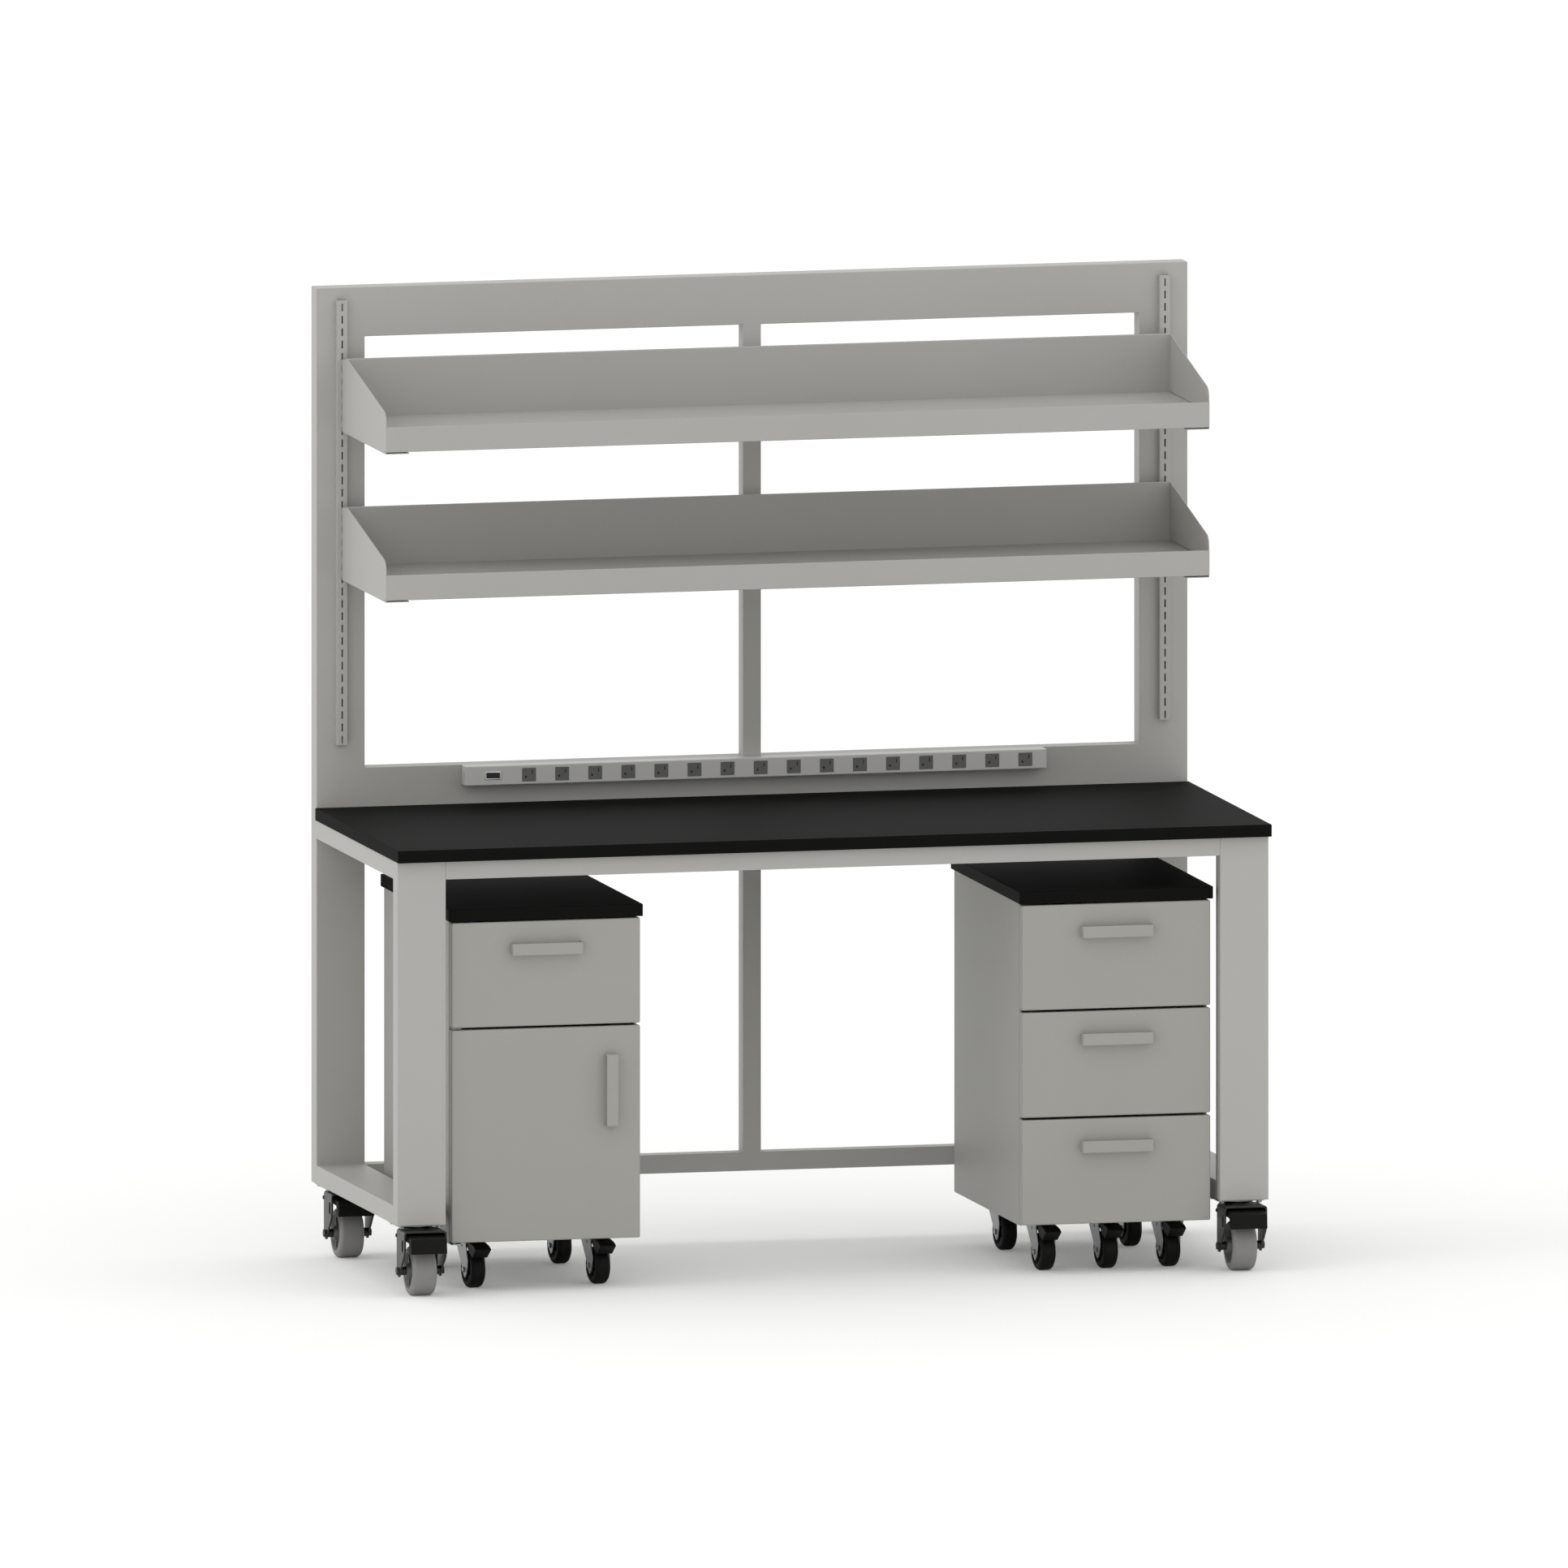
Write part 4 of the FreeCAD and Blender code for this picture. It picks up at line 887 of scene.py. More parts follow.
@dataclass
class CasterKind:
    """Sizes of one kind of caster, with its swivel axis at X = Y = 0 and the wheel trailing to -Y.

    Widths, radii and heights carry the names of their parts. The outline of a cheek is (y, z below the top of
    the crown), and a cheek's hole is (y0, y1, z0, z1) likewise.
    """

    height: float
    plate: float
    plate_width: float
    plate_depth: float
    race: float
    king: float
    king_head: float
    crown_top: float
    crown: float
    crown_radius: float
    fork_half: float
    cheek: float
    cheek_outline: tuple[tuple[float, float], ...]
    bend: float
    trail: float
    wheel_radius: float
    wheel_width: float
    rim: float
    boss: float
    axle: float
    spacer: float
    nut: float
    nut_height: float
    hub_half: float
    web_half: float
    shoulder: float
    pin_y: float
    pin_z: float
    pin: float
    spokes: int
    hole: tuple[float, float, float, float] | None = None
    ease: float = 0.8
    edge: float = 0.5
    hub_inset: float = 2.0
    hub_slope: float = 3.0
    rib_half: float = 1.2
    rib_inset: float = 1.5
    plate_corner: float = 8.0
    race_overlap: float = 0.2
    race_edge: float = 1.2
    race_slope: float = 3.0
    king_core: float = 2.0
    king_slope: float = 1.5
    crown_edge: float = 1.2
    pin_reach: float = 1.5

    @property
    def centre(self) -> Spot:
        """Where the axle crosses Y and Z."""
        return -self.trail, self.wheel_radius

    def tread(self) -> Surface:
        """Tread ring with round shoulders, turned about the axle.

        Returns:
            The ring.
        """
        half = self.wheel_width / 2
        corners = [(-half, self.rim), (half, self.rim), (half, self.wheel_radius), (-half, self.wheel_radius)]
        section = rounded(corners, [self.ease, self.ease, self.shoulder, self.shoulder], 9)
        return lathe(section, Axis.X, self.centre)

    def hub(self) -> Surface:
        """Hub with a recessed web, and ribs between its boss and rim.

        Returns:
            The hub.
        """
        half = self.wheel_width / 2 - self.hub_inset
        lip = self.rim - self.hub_inset
        right = [(self.hub_half, self.axle + FIT), (self.hub_half, self.boss),
                 (self.web_half, self.boss + self.hub_slope), (self.web_half, lip - self.hub_slope), (half, lip),
                 (half, self.rim)]
        left = [(-x, radius) for x, radius in reversed(right)]
        body = lathe(rounded(right + left, self.ease, 3), Axis.X, self.centre)
        angles = np.arange(self.spokes) * 360 / self.spokes
        return joined([body, *(self.rib(angle, half - self.rib_inset, lip) for angle in angles)])

    def rib(self, angle: float, half: float, lip: float) -> Surface:
        """One rib of the hub: each point is multiplied by the matrix of a turn about the axle.

        Args:
            angle: Turn in degrees.
            half: Half the width of the rib along the axle.
            lip: Radius at which it ends.

        Returns:
            The rib.
        """
        flat = rectangle(self.boss, lip, -self.rib_half, self.rib_half, self.edge, 3)
        bar = prism(flat, -half, half, Axis.X)
        turn = np.array(Matrix.Rotation(math.radians(angle), 3, "X"))
        return Surface(bar.points @ turn.T, bar.quads, bar.polygons).moved(0, *self.centre)

    def mount(self) -> Surface:
        """Plate with its ball race, and the kingpin whose head carries the fork.

        Returns:
            The plate and the turned parts.
        """
        low = self.height - self.plate
        wide, deep = self.plate_width / 2, self.plate_depth / 2
        plate = prism(rectangle(-wide, wide, -deep, deep, self.plate_corner), low, self.height, Axis.Z, self.edge)
        top = low + self.race_overlap
        bottom = self.crown_top + GAP
        head = self.crown_top - self.crown - GAP
        foot = head - self.king_head / 4
        race = [(top, self.king_core), (top, self.race), (bottom + self.race_edge, self.race),
                (bottom, self.race - self.race_slope), (bottom, self.king), (head, self.king),
                (head, self.king_head), (foot, self.king_head - self.king_slope), (foot, self.king_core)]
        return plate + lathe(rounded(race, 0.4, 3), Axis.Z, (0, 0), 48)

    def fork(self, braked: bool) -> Surface:
        """Pressed fork: two cheeks under a folded crown, with the axle, its nuts and the pin of a pedal.

        Args:
            braked: Whether it carries the pin of a pedal.

        Returns:
            The fork.
        """
        half, top = self.fork_half, self.crown_top
        shoulder = top - self.bend - 2
        (first, _), *between, (last, _) = self.cheek_outline
        outline = [(first, shoulder), *((y, top + z) for y, z in between), (last, shoulder)]
        radii = [self.ease, *[self.bend] * len(between), self.ease]
        holes = []
        if self.hole:
            y0, y1, z0, z1 = self.hole
            holes = [rectangle(y0, y1, top + z0, top + z1, (y1 - y0) / 2 - CUT, 8)]
        cheek = pierced(rounded(outline, radii, 7), holes, half - self.cheek, half, Axis.X, self.edge)
        path = bent([(half, shoulder), (half, top), (-half, top), (-half, shoulder)], self.bend)
        fold = strap(path, min(first, last), max(first, last), self.cheek, Axis.Y, self.edge)
        bottom, bore = top - self.crown, self.king + GAP
        section = [(bottom, bore), (bottom, self.crown_radius), (top, self.crown_radius), (top, bore)]
        disc = lathe(rounded(section, [CUT, self.crown_edge, self.crown_edge, CUT]), Axis.Z, (0, 0))
        parts = [cheek, cheek.mirrored(), fold, disc, self.axle_rod()]
        if braked:
            reach = half + self.pin_reach
            parts.append(prism(circle(self.pin_y, self.pin_z, self.pin), -reach, reach, Axis.X, self.ease))
        return joined(parts)

    def axle_rod(self) -> Surface:
        """Axle with spacers against the hub and a hex nut outside each cheek.

        Returns:
            The axle and what is on it.
        """
        half = self.fork_half
        rod = prism(circle(*self.centre, self.axle), -half, half, Axis.X, CUT)
        spacer = prism(circle(*self.centre, self.spacer), self.hub_half + GAP, half - self.cheek, Axis.X, CUT)
        nut = prism(circle(*self.centre, self.nut, 6), half, half + self.nut_height, Axis.X, (CUT / 2, self.ease))
        return joined([rod, spacer, spacer.mirrored(), nut, nut.mirrored()])


@dataclass
class Pedal:
    """Moulded brake pedal: a shell swept across the caster, with two cheeks and the boss around its pin.

    The profile of the shell and the outline of a cheek are (y, z) from the pin.
    """

    top: tuple[Spot, ...]
    cheek: tuple[Spot, ...]
    half: float
    shell: float
    wall: float
    bend: float
    boss: float

    def surface(self, kind: CasterKind) -> Surface:
        """Shell along its side profile, cheeks carried across their walls, and the turned boss.

        Args:
            kind: Caster that the pedal is pinned to.

        Returns:
            The pedal.
        """
        pin = (kind.pin_y, kind.pin_z)
        path = bent(np.add(self.top, pin), self.bend)
        shell = strap(path, -self.half, self.half, self.shell, Axis.X, self.shell / 2 - CUT)
        outline = rounded(np.add(self.cheek, pin), 2.0)
        cheek = prism(outline, self.half - self.wall, self.half, Axis.X, (BROKEN, 1.0))
        reach, bore = self.half - CUT, kind.pin + FIT
        section = [(-reach, bore), (reach, bore), (reach, self.boss), (-reach, self.boss)]
        boss = lathe(rounded(section, 0.4, 3), Axis.X, pin, 32)
        return joined([shell, cheek, cheek.mirrored(), boss])


BENCH_CASTER = CasterKind(
    height=146.0, plate=3.2, plate_width=98.0, plate_depth=96.0, race=27.0, king=6.0, king_head=11.0,
    crown_top=137.0, crown=4.0, crown_radius=34.0, fork_half=45.0, cheek=4.0,
    cheek_outline=((-18, -4), (-18, -82), (-24, -98), (-35, -100), (-46, -84), (-61, -70), (-80, -50), (-84, -38),
                   (-84, -4)),
    bend=7.0, trail=35.0, wheel_radius=50.8, wheel_width=50.8, rim=36.0, boss=14.0, axle=5.0, spacer=9.0, nut=8.5,
    nut_height=5.0, hub_half=30.0, web_half=19.0, shoulder=9.0, pin_y=-16.0, pin_z=122.0, pin=4.0, spokes=5,
    hole=(-75.5, -62.5, -44.0, -18.0))
PEDESTAL_CASTER = CasterKind(
    height=102.5, plate=2.5, plate_width=62.0, plate_depth=62.0, race=21.0, king=4.0, king_head=8.0,
    crown_top=95.0, crown=3.0, crown_radius=24.0, fork_half=20.0, cheek=2.5,
    cheek_outline=((12, -3), (12, -10), (-14, -42), (-28, -66), (-38, -76), (-47, -66), (-52, -52), (-54, -38),
                   (-44, -3)),
    bend=4.0, trail=34.0, wheel_radius=38.1, wheel_width=31.0, rim=26.0, boss=10.0, axle=4.0, spacer=6.0, nut=6.0,
    nut_height=3.5, hub_half=16.5, web_half=10.0, shoulder=8.0, pin_y=-20.0, pin_z=85.5, pin=2.5, spokes=5)
BENCH_PEDAL = Pedal(
    top=((8, 5.4), (-44, 8.6), (-98, 2), (-101, -28)),
    cheek=((2, 5), (-44, 6), (-98, -1), (-98, -28), (-91, -28), (-79, -8), (0, -5)),
    half=38.0, shell=5.0, wall=4.0, bend=4.0, boss=8.0)
PEDESTAL_PEDAL = Pedal(
    top=((2, 5), (-25, 5.5), (-28, 11.5), (-50, 8.5), (-66, 5), (-78, -1), (-54, -20)),
    cheek=((-25, 5.5), (-28, 11), (-50, 8), (-66, 4.5), (-74, -1), (-54, -19), (-36, -12), (-25, 0)),
    half=17.0, shell=2.6, wall=1.2, bend=1.5, boss=5.0)


@dataclass
class CasterSet:
    """Casters under one body, with the plates that carry them.

    Attributes:
        kind: Sizes of the casters.
        pedal: Pedal of the braked ones.
        prefix: First word of their nodes' names.
        corners: Last word of each caster's nodes.
        braked: Which of these have a brake.
        turn: Angle in degrees at which they are parked.
        tread: Finish of the treads.
        hub: Finish of the hubs.
        steel: Finish of the forks.
    """

    kind: CasterKind
    pedal: Pedal
    prefix: str
    corners: tuple[str, ...]
    braked: tuple[str, ...]
    turn: float
    tread: Slot
    hub: Slot
    steel: Slot

    def pivot(self, corner: str) -> Spot:
        """Swivel axis: the wheel's middle, stepped back by the trail in the direction that it is parked.

        Args:
            corner: Which caster.

        Returns:
            Its X and Y.
        """
        low, high = extent(f"{self.prefix}_wheel_{corner}")
        middle = (low + high) / 2
        angle = math.radians(self.turn)
        return middle[0] - self.kind.trail * math.sin(angle), middle[1] + self.kind.trail * math.cos(angle)

    def build(self, palette: Palette) -> None:
        """Make the wheel, fork and pedal of every caster, each turned as it is parked.

        Args:
            palette: Finishes of the bench.
        """
        for corner in self.corners:
            braked = corner in self.braked
            parts = [("wheel", "tread", self.kind.tread(), self.tread), ("wheel", "hub", self.kind.hub(), self.hub),
                     ("fork", "pressed", self.kind.fork(braked), self.steel)]
            if braked:
                parts.append(("pedal", "moulded", self.pedal.surface(self.kind), Slot.PEDAL))
            for part, name, surface, slot in parts:
                body = f"{self.prefix}_{part}_{corner}"
                placed = surface.turned(self.turn).moved(*self.pivot(corner))
                palette.piece(f"{body}_{name}", placed, body, slot, [body])

    def mounts(self) -> Surface:
        """Plates of all casters."""
        return joined([self.kind.mount().moved(*self.pivot(corner)) for corner in self.corners])


# Power rail

@dataclass
class PowerRail:
    """Extruded rail with a row of moulded outlets, and a rocker switch in a bright bezel."""

    outlets: int = 16
    pitch: float = 69.47
    last: float = 565.2
    proud: float = 0.6
    radius: float = 2.5
    end: float = 0.8
    switch_x: float = -552.6
    bezel_half: Spot = (16.8, 8.2)
    bezel: float = 2.6
    bezel_proud: float = 1.6
    rocker_pin: float = 1.2
    rocker_pin_depth: float = 2.0

    def build(self, palette: Palette) -> None:
        """Make the rail, the outlets, the bezel and the rocker.

        Args:
            palette: Finishes of the bench.
        """
        low, high = extent("power_rail_housing")
        face = low[1] + self.bezel_proud
        middle = (low[2] + high[2]) / 2
        corners = [(face, low[2]), (high[1], low[2]), (high[1], high[2]), (face, high[2])]
        rail = prism(rounded(corners, [self.radius, 0.6, 0.6, self.radius], 8), low[0], high[0], Axis.X, self.end)
        bodies, hole_shade = Outlet().surfaces(face - self.proud, middle)
        places = self.last - self.pitch * np.arange(self.outlets)
        for name, surface, slot, node in (
                ("power_rail_extrusion", rail, Slot.RAIL, "power_rail_housing"),
                ("power_rail_bezel", self.bezel_ring(face, middle), Slot.BRIGHT, "power_rail_housing"),
                ("power_outlets_moulded", joined([bodies.moved(x) for x in places]), Slot.OUTLET, "power_outlets"),
                # Black plugs sunk just under the outlets' face: painted shade for the depth of the earth hole and the
                # upright slot.
                ("power_outlets_contacts", joined([hole_shade.moved(x) for x in places]), Slot.SWITCH, "power_outlets")):
            palette.piece(name, surface, "bench", slot, [node])
        palette.piece("power_switch_rocker", self.rocker(face), "power_switch", Slot.SWITCH, ["power_switch"])
        palette.dress("frame_fasteners", Slot.ZINC)

    def bezel_ring(self, face: float, middle: float) -> Surface:
        """Bright frame around the rocker, standing on the face of the rail.

        Args:
            face: Front of the rail.
            middle: Height of its middle.

        Returns:
            The ring.
        """
        wide, high = self.bezel_half
        outer, inner = (rectangle(self.switch_x - wide + inset, self.switch_x + wide - inset, middle - high + inset,
                                  middle + high - inset, radius, steps)
                        for inset, radius, steps in ((0.0, 2.2, 6), (self.bezel, 0.8, 4)))
        return pierced(outer, [inner], face - self.bezel_proud, face, Axis.Y, (0.6, 0.0))

    def rocker(self, face: float) -> Surface:
        """Rocker with two shallow slopes, on two short pins above and below its middle.

        Args:
            face: Front of the rail.

        Returns:
            The rocker.
        """
        low, high = extent("power_switch")
        pin = self.rocker_pin
        half = (high[0] - low[0]) / 2
        outline = np.array([(-half, -0.6), (0, -1.2), (half, -3.4), (half, -0.2), (4, 8), (-4, 8), (-half, 1.4)])
        centre = ((low[0] + high[0]) / 2, face)
        corners = rounded(outline + centre, [0.4, 6.0, 0.6, 0.4, 1.0, 1.0, 0.4])
        body = prism(corners, low[2] + pin, high[2] - pin, Axis.Z, 0.5)
        return body + prism(circle(centre[0], face + self.rocker_pin_depth, pin), low[2], high[2], Axis.Z, CUT)


@dataclass
class Outlet:
    """Moulded outlet around X = 0, with an earth hole and two slots.

    The middles of the openings are (x, down from the top), and their halves are (half width, half height).
    """

    width: float = 29.3
    height: float = 28.0
    depth: float = 14.0
    skin: float = 5.0
    corner: float = 1.5
    earth: Spot = (-6.446, 18.48)
    earth_radius: float = 2.4
    live: Spot = (7.1785, 8.4)
    live_half: Spot = (1.1, 4.0)
    neutral: Spot = (-5.86, 5.0)
    neutral_half: Spot = (3.6, 1.0)
    # How far under the face the black plugs of painted shade and the shutter sit.
    sunk: float = 0.35
    play: float = 0.02

    def surfaces(self, face: float, middle: float) -> tuple[Surface, Surface]:
        """Body with a shutter in its level slot, and black plugs sunk just under the face in the other two openings,
        as painted shade for the depth of those holes.

        Args:
            face: Front of the outlet.
            middle: Height of its middle.

        Returns:
            The body and the black plugs of painted shade.
        """
        half = self.width / 2
        top = middle + self.height / 2
        inner = face + self.skin
        body = rectangle(-half, half, top - self.height, top, self.corner)
        openings = [circle(self.earth[0], top - self.earth[1], self.earth_radius, 20)]
        for (x, drop), (wide, high) in ((self.live, self.live_half), (self.neutral, self.neutral_half)):
            openings.append(rectangle(x - wide, x + wide, top - drop - high, top - drop + high, BROKEN, 2))
        front = pierced(body, openings, face, inner, Axis.Y, (0.5, 0.1))
        back = prism(body, inner, face + self.depth, Axis.Y, 0.1)
        # The earth hole and the upright slot are filled almost to the face with black plugs, painted shade for their
        # depth; the level slot gets a shutter of the body's plastic.
        *hole_shade, shutter = (prism(inwards(opening, self.play), face + self.sunk, inner, Axis.Y, 0.0)
                              for opening in openings)
        return joined([front, back, shutter]), joined(hole_shade)


# Pedestals

@dataclass
class Front:
    """Hollow front of a drawer or door: a pan with soft edges closed by a liner."""

    x0: float
    x1: float
    face: float
    low: float
    high: float
    thickness: float = 20.0
    edge: float = 3.0
    back_edge: float = 0.6
    corner: float = 3.4

    def surface(self) -> Surface:
        """Rounded rectangle carried from the face to the back, with the wide radius on the face."""
        outline = rectangle(self.x0, self.x1, self.low, self.high, self.corner, 6)
        return prism(outline, self.face, self.face + self.thickness, Axis.Y, (self.edge, self.back_edge))


@dataclass
class Pull:
    """Strap handle bent back to the front at both ends."""

    x: float
    z: float
    face: float
    upright: bool = False
    length: float = 150.0
    width: float = 24.0
    standoff: float = 22.0
    strap: float = 4.0
    bend: float = 1.5
    cut: float = 0.8
    edge: float = 0.7

    def surface(self) -> Surface:
        """Folded outline of the strap carried across its width.

        Returns:
            The handle.
        """
        half = self.length / 2
        out = self.face - self.standoff
        middle = self.z if self.upright else self.x
        path = [(middle - half, self.face), (middle - half, out), (middle + half, out), (middle + half, self.face)]
        outline = folded(path, self.strap, self.bend, self.cut)
        across = self.x if self.upright else self.z
        low, high = across - self.width / 2, across + self.width / 2
        if self.upright:
            return prism(outline[:, ::-1], low, high, Axis.X, self.edge)
        return prism(outline, low, high, Axis.Z, self.edge)


@dataclass
class Fronted:
    """Part of a pedestal that moves by itself and has a hollow front with a strap handle.

    Attributes:
        node: Node that it stands for, which is also the name of its body.
        handle_drop: From the top of the front down to the middle of the handle.
        handle_inset: From the right edge to an upright handle, or None for a level handle in the middle.
    """

    node: str
    handle_drop: float = 56.0
    handle_inset: float | None = None

    def add(self, palette: Palette, name: str, surface: Surface, slot: Slot = Slot.PEDESTAL) -> None:
        """Make one piece of this part."""
        palette.piece(f"{self.node}_{name}", surface, self.node, slot, [self.node])

    def build_front(self, palette: Palette) -> Front:
        """Make the front and its handle.

        Args:
            palette: Finishes of the bench.

        Returns:
            The front.
        """
        low, high = extent(self.node)
        front = Front(low[0], high[0], low[1] + Pull.standoff, low[2], high[2])
        upright = self.handle_inset is not None
        x = high[0] - self.handle_inset if upright else (low[0] + high[0]) / 2
        self.add(palette, "front", front.surface())
        self.add(palette, "pull", Pull(x, high[2] - self.handle_drop, front.face, upright).surface())
        return front


@dataclass
class Drawer(Fronted):
    """Drawer whose box has rolled rims and carries the moving members of its runners."""

    depth: float = 520.0
    sheet: float = 1.2
    corner: float = 0.5
    side_clear: float = 2.5
    rim_drop: float = 30.0
    rim_fold: float = 8.0
    base_rise: float = 14.0
    runner_space: float = 12.8
    runner_half: float = 15.85
    runner_depth: float = 8.0
    runner_sheet: float = 1.4
    runner_bend: float = 0.6
    runner_rise: float = 35.0
    runner_start: float = 12.0
    runner_length: float = 500.0

    def build(self, palette: Palette) -> None:
        """Make the front, the handle, the box and the runners.

        Args:
            palette: Finishes of the bench.
        """
        front = self.build_front(palette)
        middle = (front.x0 + front.x1) / 2
        outer = front.x1 - middle - self.side_clear - self.runner_space
        start = front.face + front.thickness
        base = front.low + self.base_rise
        self.add(palette, "box", self.box(middle, outer, start, base, front.high - self.rim_drop))
        z = base + self.runner_rise
        reach = outer + self.runner_depth
        path = [(middle + x, z + way * self.runner_half)
                for x, way in ((reach, 1), (outer, 1), (outer, -1), (reach, -1))]
        start += self.runner_start
        channel = folded(path, self.runner_sheet, self.runner_bend)
        runner = prism(channel, start, start + self.runner_length, Axis.Y, CUT)
        self.add(palette, "runner_members", runner + runner.mirrored(middle), Slot.ZINC)

    def box(self, middle: float, outer: float, front: float, base: float, rim: float) -> Surface:
        """Sides whose rims are rolled inwards, a floor and two ends.

        Args:
            middle: Middle of the drawer across X.
            outer: Half the width of the box.
            front: Front end of the box.
            base: Bottom of the box.
            rim: Top of its sides.

        Returns:
            The box.
        """
        inner = outer - self.sheet
        hem = inner - self.sheet
        back = front + self.depth
        fold = rim - self.rim_fold
        corners = [(outer, base), (outer, rim), (hem, rim), (hem, fold), (inner, fold), (inner, base)]
        radii = [BROKEN, 1.0, 1.0, 0.4, BROKEN, BROKEN]
        side = prism(rounded([(middle + x, z) for x, z in corners], radii), front, back, Axis.Y, CUT)
        across = (middle - inner, middle + inner)
        floor = flat_sheet((*across, front + self.sheet, back - self.sheet), base, base + self.sheet, Axis.Z,
                           self.corner)
        ends = [flat_sheet((*across, base, fold), y, y + self.sheet, Axis.Y, self.corner)
                for y in (front, back - self.sheet)]
        return joined([side, side.mirrored(middle), floor, *ends])


@dataclass
class Door(Fronted):
    """Hinged door with an upright handle near its free edge."""

    handle_drop: float = 131.0
    handle_inset: float | None = 62.9

    def build(self, palette: Palette) -> None:
        """Make the front and its handle."""
        self.build_front(palette)


@dataclass
class Carcass:
    """Folded side sheets, back, bottom, top rails and a rail behind each gap between the fronts."""

    node: str
    body: str
    gaps: tuple[float, ...]
    sheet: float = 1.5
    bend: float = 1.0
    turned_in: float = 6.0
    rail: float = 22.0
    top_drop: float = 15.0
    top_depth: float = 40.0

    def build(self, palette: Palette) -> None:
        """Make the sheets between the corners of the node.

        Args:
            palette: Finishes of the bench.
        """
        (x0, front, base), (x1, back, top) = extent(self.node)
        middle = (x0 + x1) / 2
        half = x1 - middle
        clear = half - self.sheet
        across = (middle - clear, middle + clear)
        inside, rear = front + self.sheet, back - self.sheet
        fold = folded([(half - self.turned_in, front), (half, front), (half, back)], self.sheet, self.bend)
        side = prism(fold, base, top, Axis.Z, BROKEN).moved(middle)
        sheets = [side, side.mirrored(middle), flat_sheet((*across, base, top), rear, back, Axis.Y)]
        for z, end in ((base, rear), *((gap - self.sheet / 2, inside + self.rail) for gap in self.gaps)):
            sheets.append(flat_sheet((*across, inside, end), z, z + self.sheet, Axis.Z))
        for start, way in ((inside, 1), (rear, -1)):
            path = [(start, top - self.top_drop), (start, top), (start + way * self.top_depth, top)]
            sheets.append(prism(folded(path, -way * self.sheet, self.bend), *across, Axis.X, CUT))
        palette.piece(self.node + "_folded", joined(sheets), self.body, Slot.PEDESTAL, [self.node])


@dataclass
class Pedestal:
    """Mobile pedestal: sheet carcass, resin top, drawers, perhaps a door, and its casters.

    Attributes:
        side: First word of its nodes' names.
        drawers: Nodes of its drawers.
        corners: Last word of each caster's nodes; those in front begin with an f and have a brake.
        gaps: Heights of the gaps between its fronts.
        door: Whether it has a door.
        parked: Angle in degrees at which its casters are parked.
    """

    side: str
    drawers: tuple[str, ...]
    corners: tuple[str, ...]
    gaps: tuple[float, ...]
    door: bool = False
    parked: float = 6.0

    def build(self, palette: Palette) -> None:
        """Build everything that the pedestal carries.

        Args:
            palette: Finishes of the bench.
        """
        body = self.side + "_pedestal"
        Carcass(self.side + "_carcass", body, self.gaps).build(palette)
        palette.dress(self.side + "_fittings", Slot.ZINC)
        Slab(self.side + "_top", body).build(palette)
        for node in self.drawers:
            Drawer(node).build(palette)
        if self.door:
            Door(self.side + "_door").build(palette)
        braked = tuple(corner for corner in self.corners if corner.startswith("f"))
        CasterSet(PEDESTAL_CASTER, PEDESTAL_PEDAL, self.side, self.corners, braked, self.parked,
                  Slot.BLACK_TREAD, Slot.BLACK_TREAD, Slot.ZINC).build(palette)


# Studio

@dataclass
class Camera:
    """Parallel view from a little to the left and above.

    Attributes:
        yaw: Angle in degrees by which it looks past straight ahead to the right.
        pitch: Angle in degrees by which it looks down.
        width: Width of the view.
        target_right: Middle of the view, to the right of the middle of the rear frame's front plane.
        target_up: Middle of the view, above the floor along the view's upright.
        rear_plane: Y of the rear frame's front plane.
        distance: From the camera to the middle of the view.
    """

    yaw: float = 13.6545
    pitch: float = 7.2782
    width: float = 3.1987
    target_right: float = 0.0653
    target_up: float = 0.9337
    rear_plane: float = 0.356275
    distance: float = 8.0

    def build(self) -> None:
        """Create the camera and make it the scene's."""
        yaw, pitch = math.radians(self.yaw), math.radians(self.pitch)
        right = Vector((math.cos(yaw), -math.sin(yaw), 0))
        ahead = Vector((math.sin(yaw) * math.cos(pitch), math.cos(yaw) * math.cos(pitch), -math.sin(pitch)))
        up = right.cross(ahead)
        data = bpy.data.cameras.new("bench_camera")
        data.type = "ORTHO"
        data.ortho_scale = self.width
        data.clip_end = 200.0
        camera = bpy.data.objects.new("bench_camera", data)
        bpy.context.scene.collection.objects.link(camera)
        target = Vector((0, self.rear_plane, 0)) + self.target_right * right + self.target_up * up
        camera.matrix_world = Matrix.Translation(target - self.distance * ahead) @ Matrix(
            (right, up, -ahead)).transposed().to_4x4()
        bpy.context.scene.camera = camera


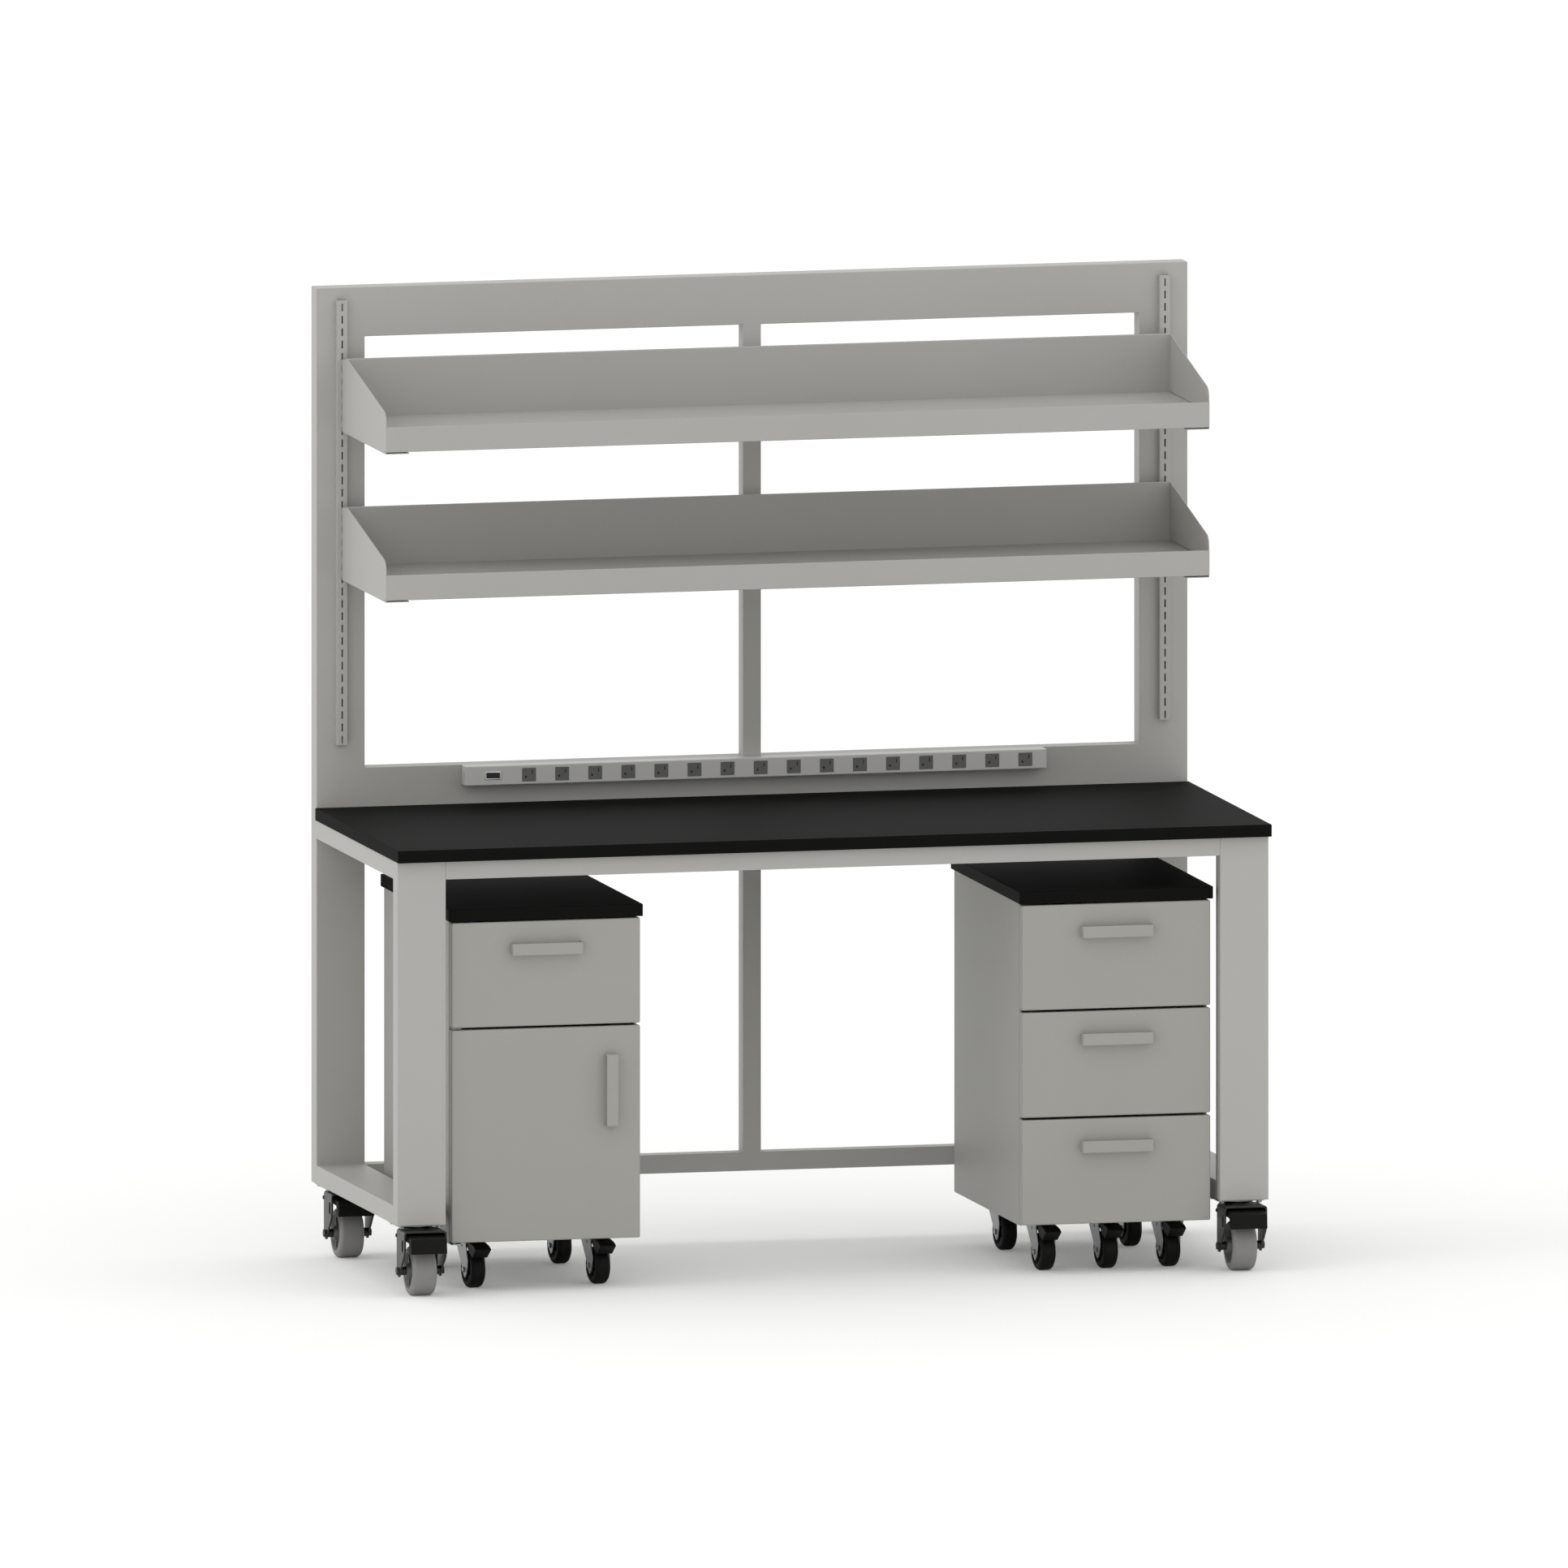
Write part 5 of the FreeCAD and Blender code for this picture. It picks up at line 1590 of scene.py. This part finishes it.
@dataclass
class Studio:
    """Pale floor that runs out to white, a weak lamp from the upper left and an even surround."""

    floor_half: float = 60.0
    floor_colour: str = "#F2F2F1"
    floor_lift: float = 0.12
    surround: float = 1.0
    lamp_strength: float = 0.3
    lamp_angle: float = 40.0
    lamp_from: tuple[float, float, float] = (-0.80, -0.10, 0.60)

    def build(self) -> None:
        """Create the floor, the lamp and the surround."""
        self.build_floor()
        self.build_lamp()
        self.build_surround()
        bpy.context.scene.view_settings.view_transform = "Standard"

    def build_floor(self) -> None:
        """Flat floor; only the camera's own rays see it lifted to white, so it still takes shadows."""
        half = self.floor_half
        mesh = bpy.data.meshes.new("studio_floor")
        mesh.from_pydata([(-half, -half, 0), (half, -half, 0), (half, half, 0), (-half, half, 0)], [], [(0, 1, 2, 3)])
        floor = bpy.data.objects.new("studio_floor", mesh)
        bpy.context.scene.collection.objects.link(floor)
        made = bpy.data.materials.new("studio_paper")
        made.use_nodes = True
        tree = made.node_tree
        tree.nodes.clear()
        paper = add_node(tree, "ShaderNodeBsdfDiffuse", {"Color": linear(self.floor_colour)}).outputs[0]
        seen = add_node(tree, "ShaderNodeLightPath").outputs["Is Camera Ray"]
        lift = add_node(tree, "ShaderNodeMath", {0: seen, 1: self.floor_lift}, operation="MULTIPLY").outputs[0]
        glow = add_node(tree, "ShaderNodeEmission", {"Color": (1, 1, 1, 1), "Strength": lift}).outputs[0]
        both = add_node(tree, "ShaderNodeAddShader", {0: paper, 1: glow}).outputs[0]
        add_node(tree, "ShaderNodeOutputMaterial", {"Surface": both})
        mesh.materials.append(made)

    def build_lamp(self) -> None:
        """One wide, distant lamp."""
        data = bpy.data.lights.new("studio_lamp", "SUN")
        data.energy = self.lamp_strength
        data.angle = math.radians(self.lamp_angle)
        lamp = bpy.data.objects.new("studio_lamp", data)
        lamp.rotation_mode = "QUATERNION"
        lamp.rotation_quaternion = Vector(self.lamp_from).to_track_quat("Z", "Y")
        bpy.context.scene.collection.objects.link(lamp)

    def build_surround(self) -> None:
        """Even white surround."""
        world = bpy.data.worlds.new("studio_surround")
        bpy.context.scene.world = world
        world.use_nodes = True
        tree = world.node_tree
        tree.nodes.clear()
        glow = add_node(tree, "ShaderNodeBackground", {"Color": (1, 1, 1, 1), "Strength": self.surround})
        add_node(tree, "ShaderNodeOutputWorld", {"Surface": glow.outputs[0]})


def main() -> None:
    """Build the bench in order and light it."""
    Camera().build()
    palette = Palette()
    BenchFrame().build(palette)
    Slab("worktop", "bench").build(palette)
    for level in ("upper", "lower"):
        Shelf(level).build(palette)
    PowerRail().build(palette)
    corners = ("fl", "fr", "rl", "rr")
    casters = CasterSet(BENCH_CASTER, BENCH_PEDAL, "bench", corners, corners, 0.0, Slot.GREY_TREAD, Slot.GREY_HUB,
                        Slot.DARK_STEEL)
    casters.build(palette)
    palette.piece("bench_caster_plates_pressed", casters.mounts(), "bench", Slot.ZINC, ["bench_caster_plates"])
    # Heights of the gaps between the fronts of the pedestals.
    upper_gap, lower_gap = 545.0, 324.1
    Pedestal("left", ("left_drawer",), corners, (upper_gap,), door=True).build(palette)
    Pedestal("right", ("right_drawer_1", "right_drawer_2", "right_drawer_3"), corners + ("fm",),
             (upper_gap, lower_gap)).build(palette)
    Studio().build()
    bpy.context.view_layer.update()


if __name__ == "__main__":
    main()
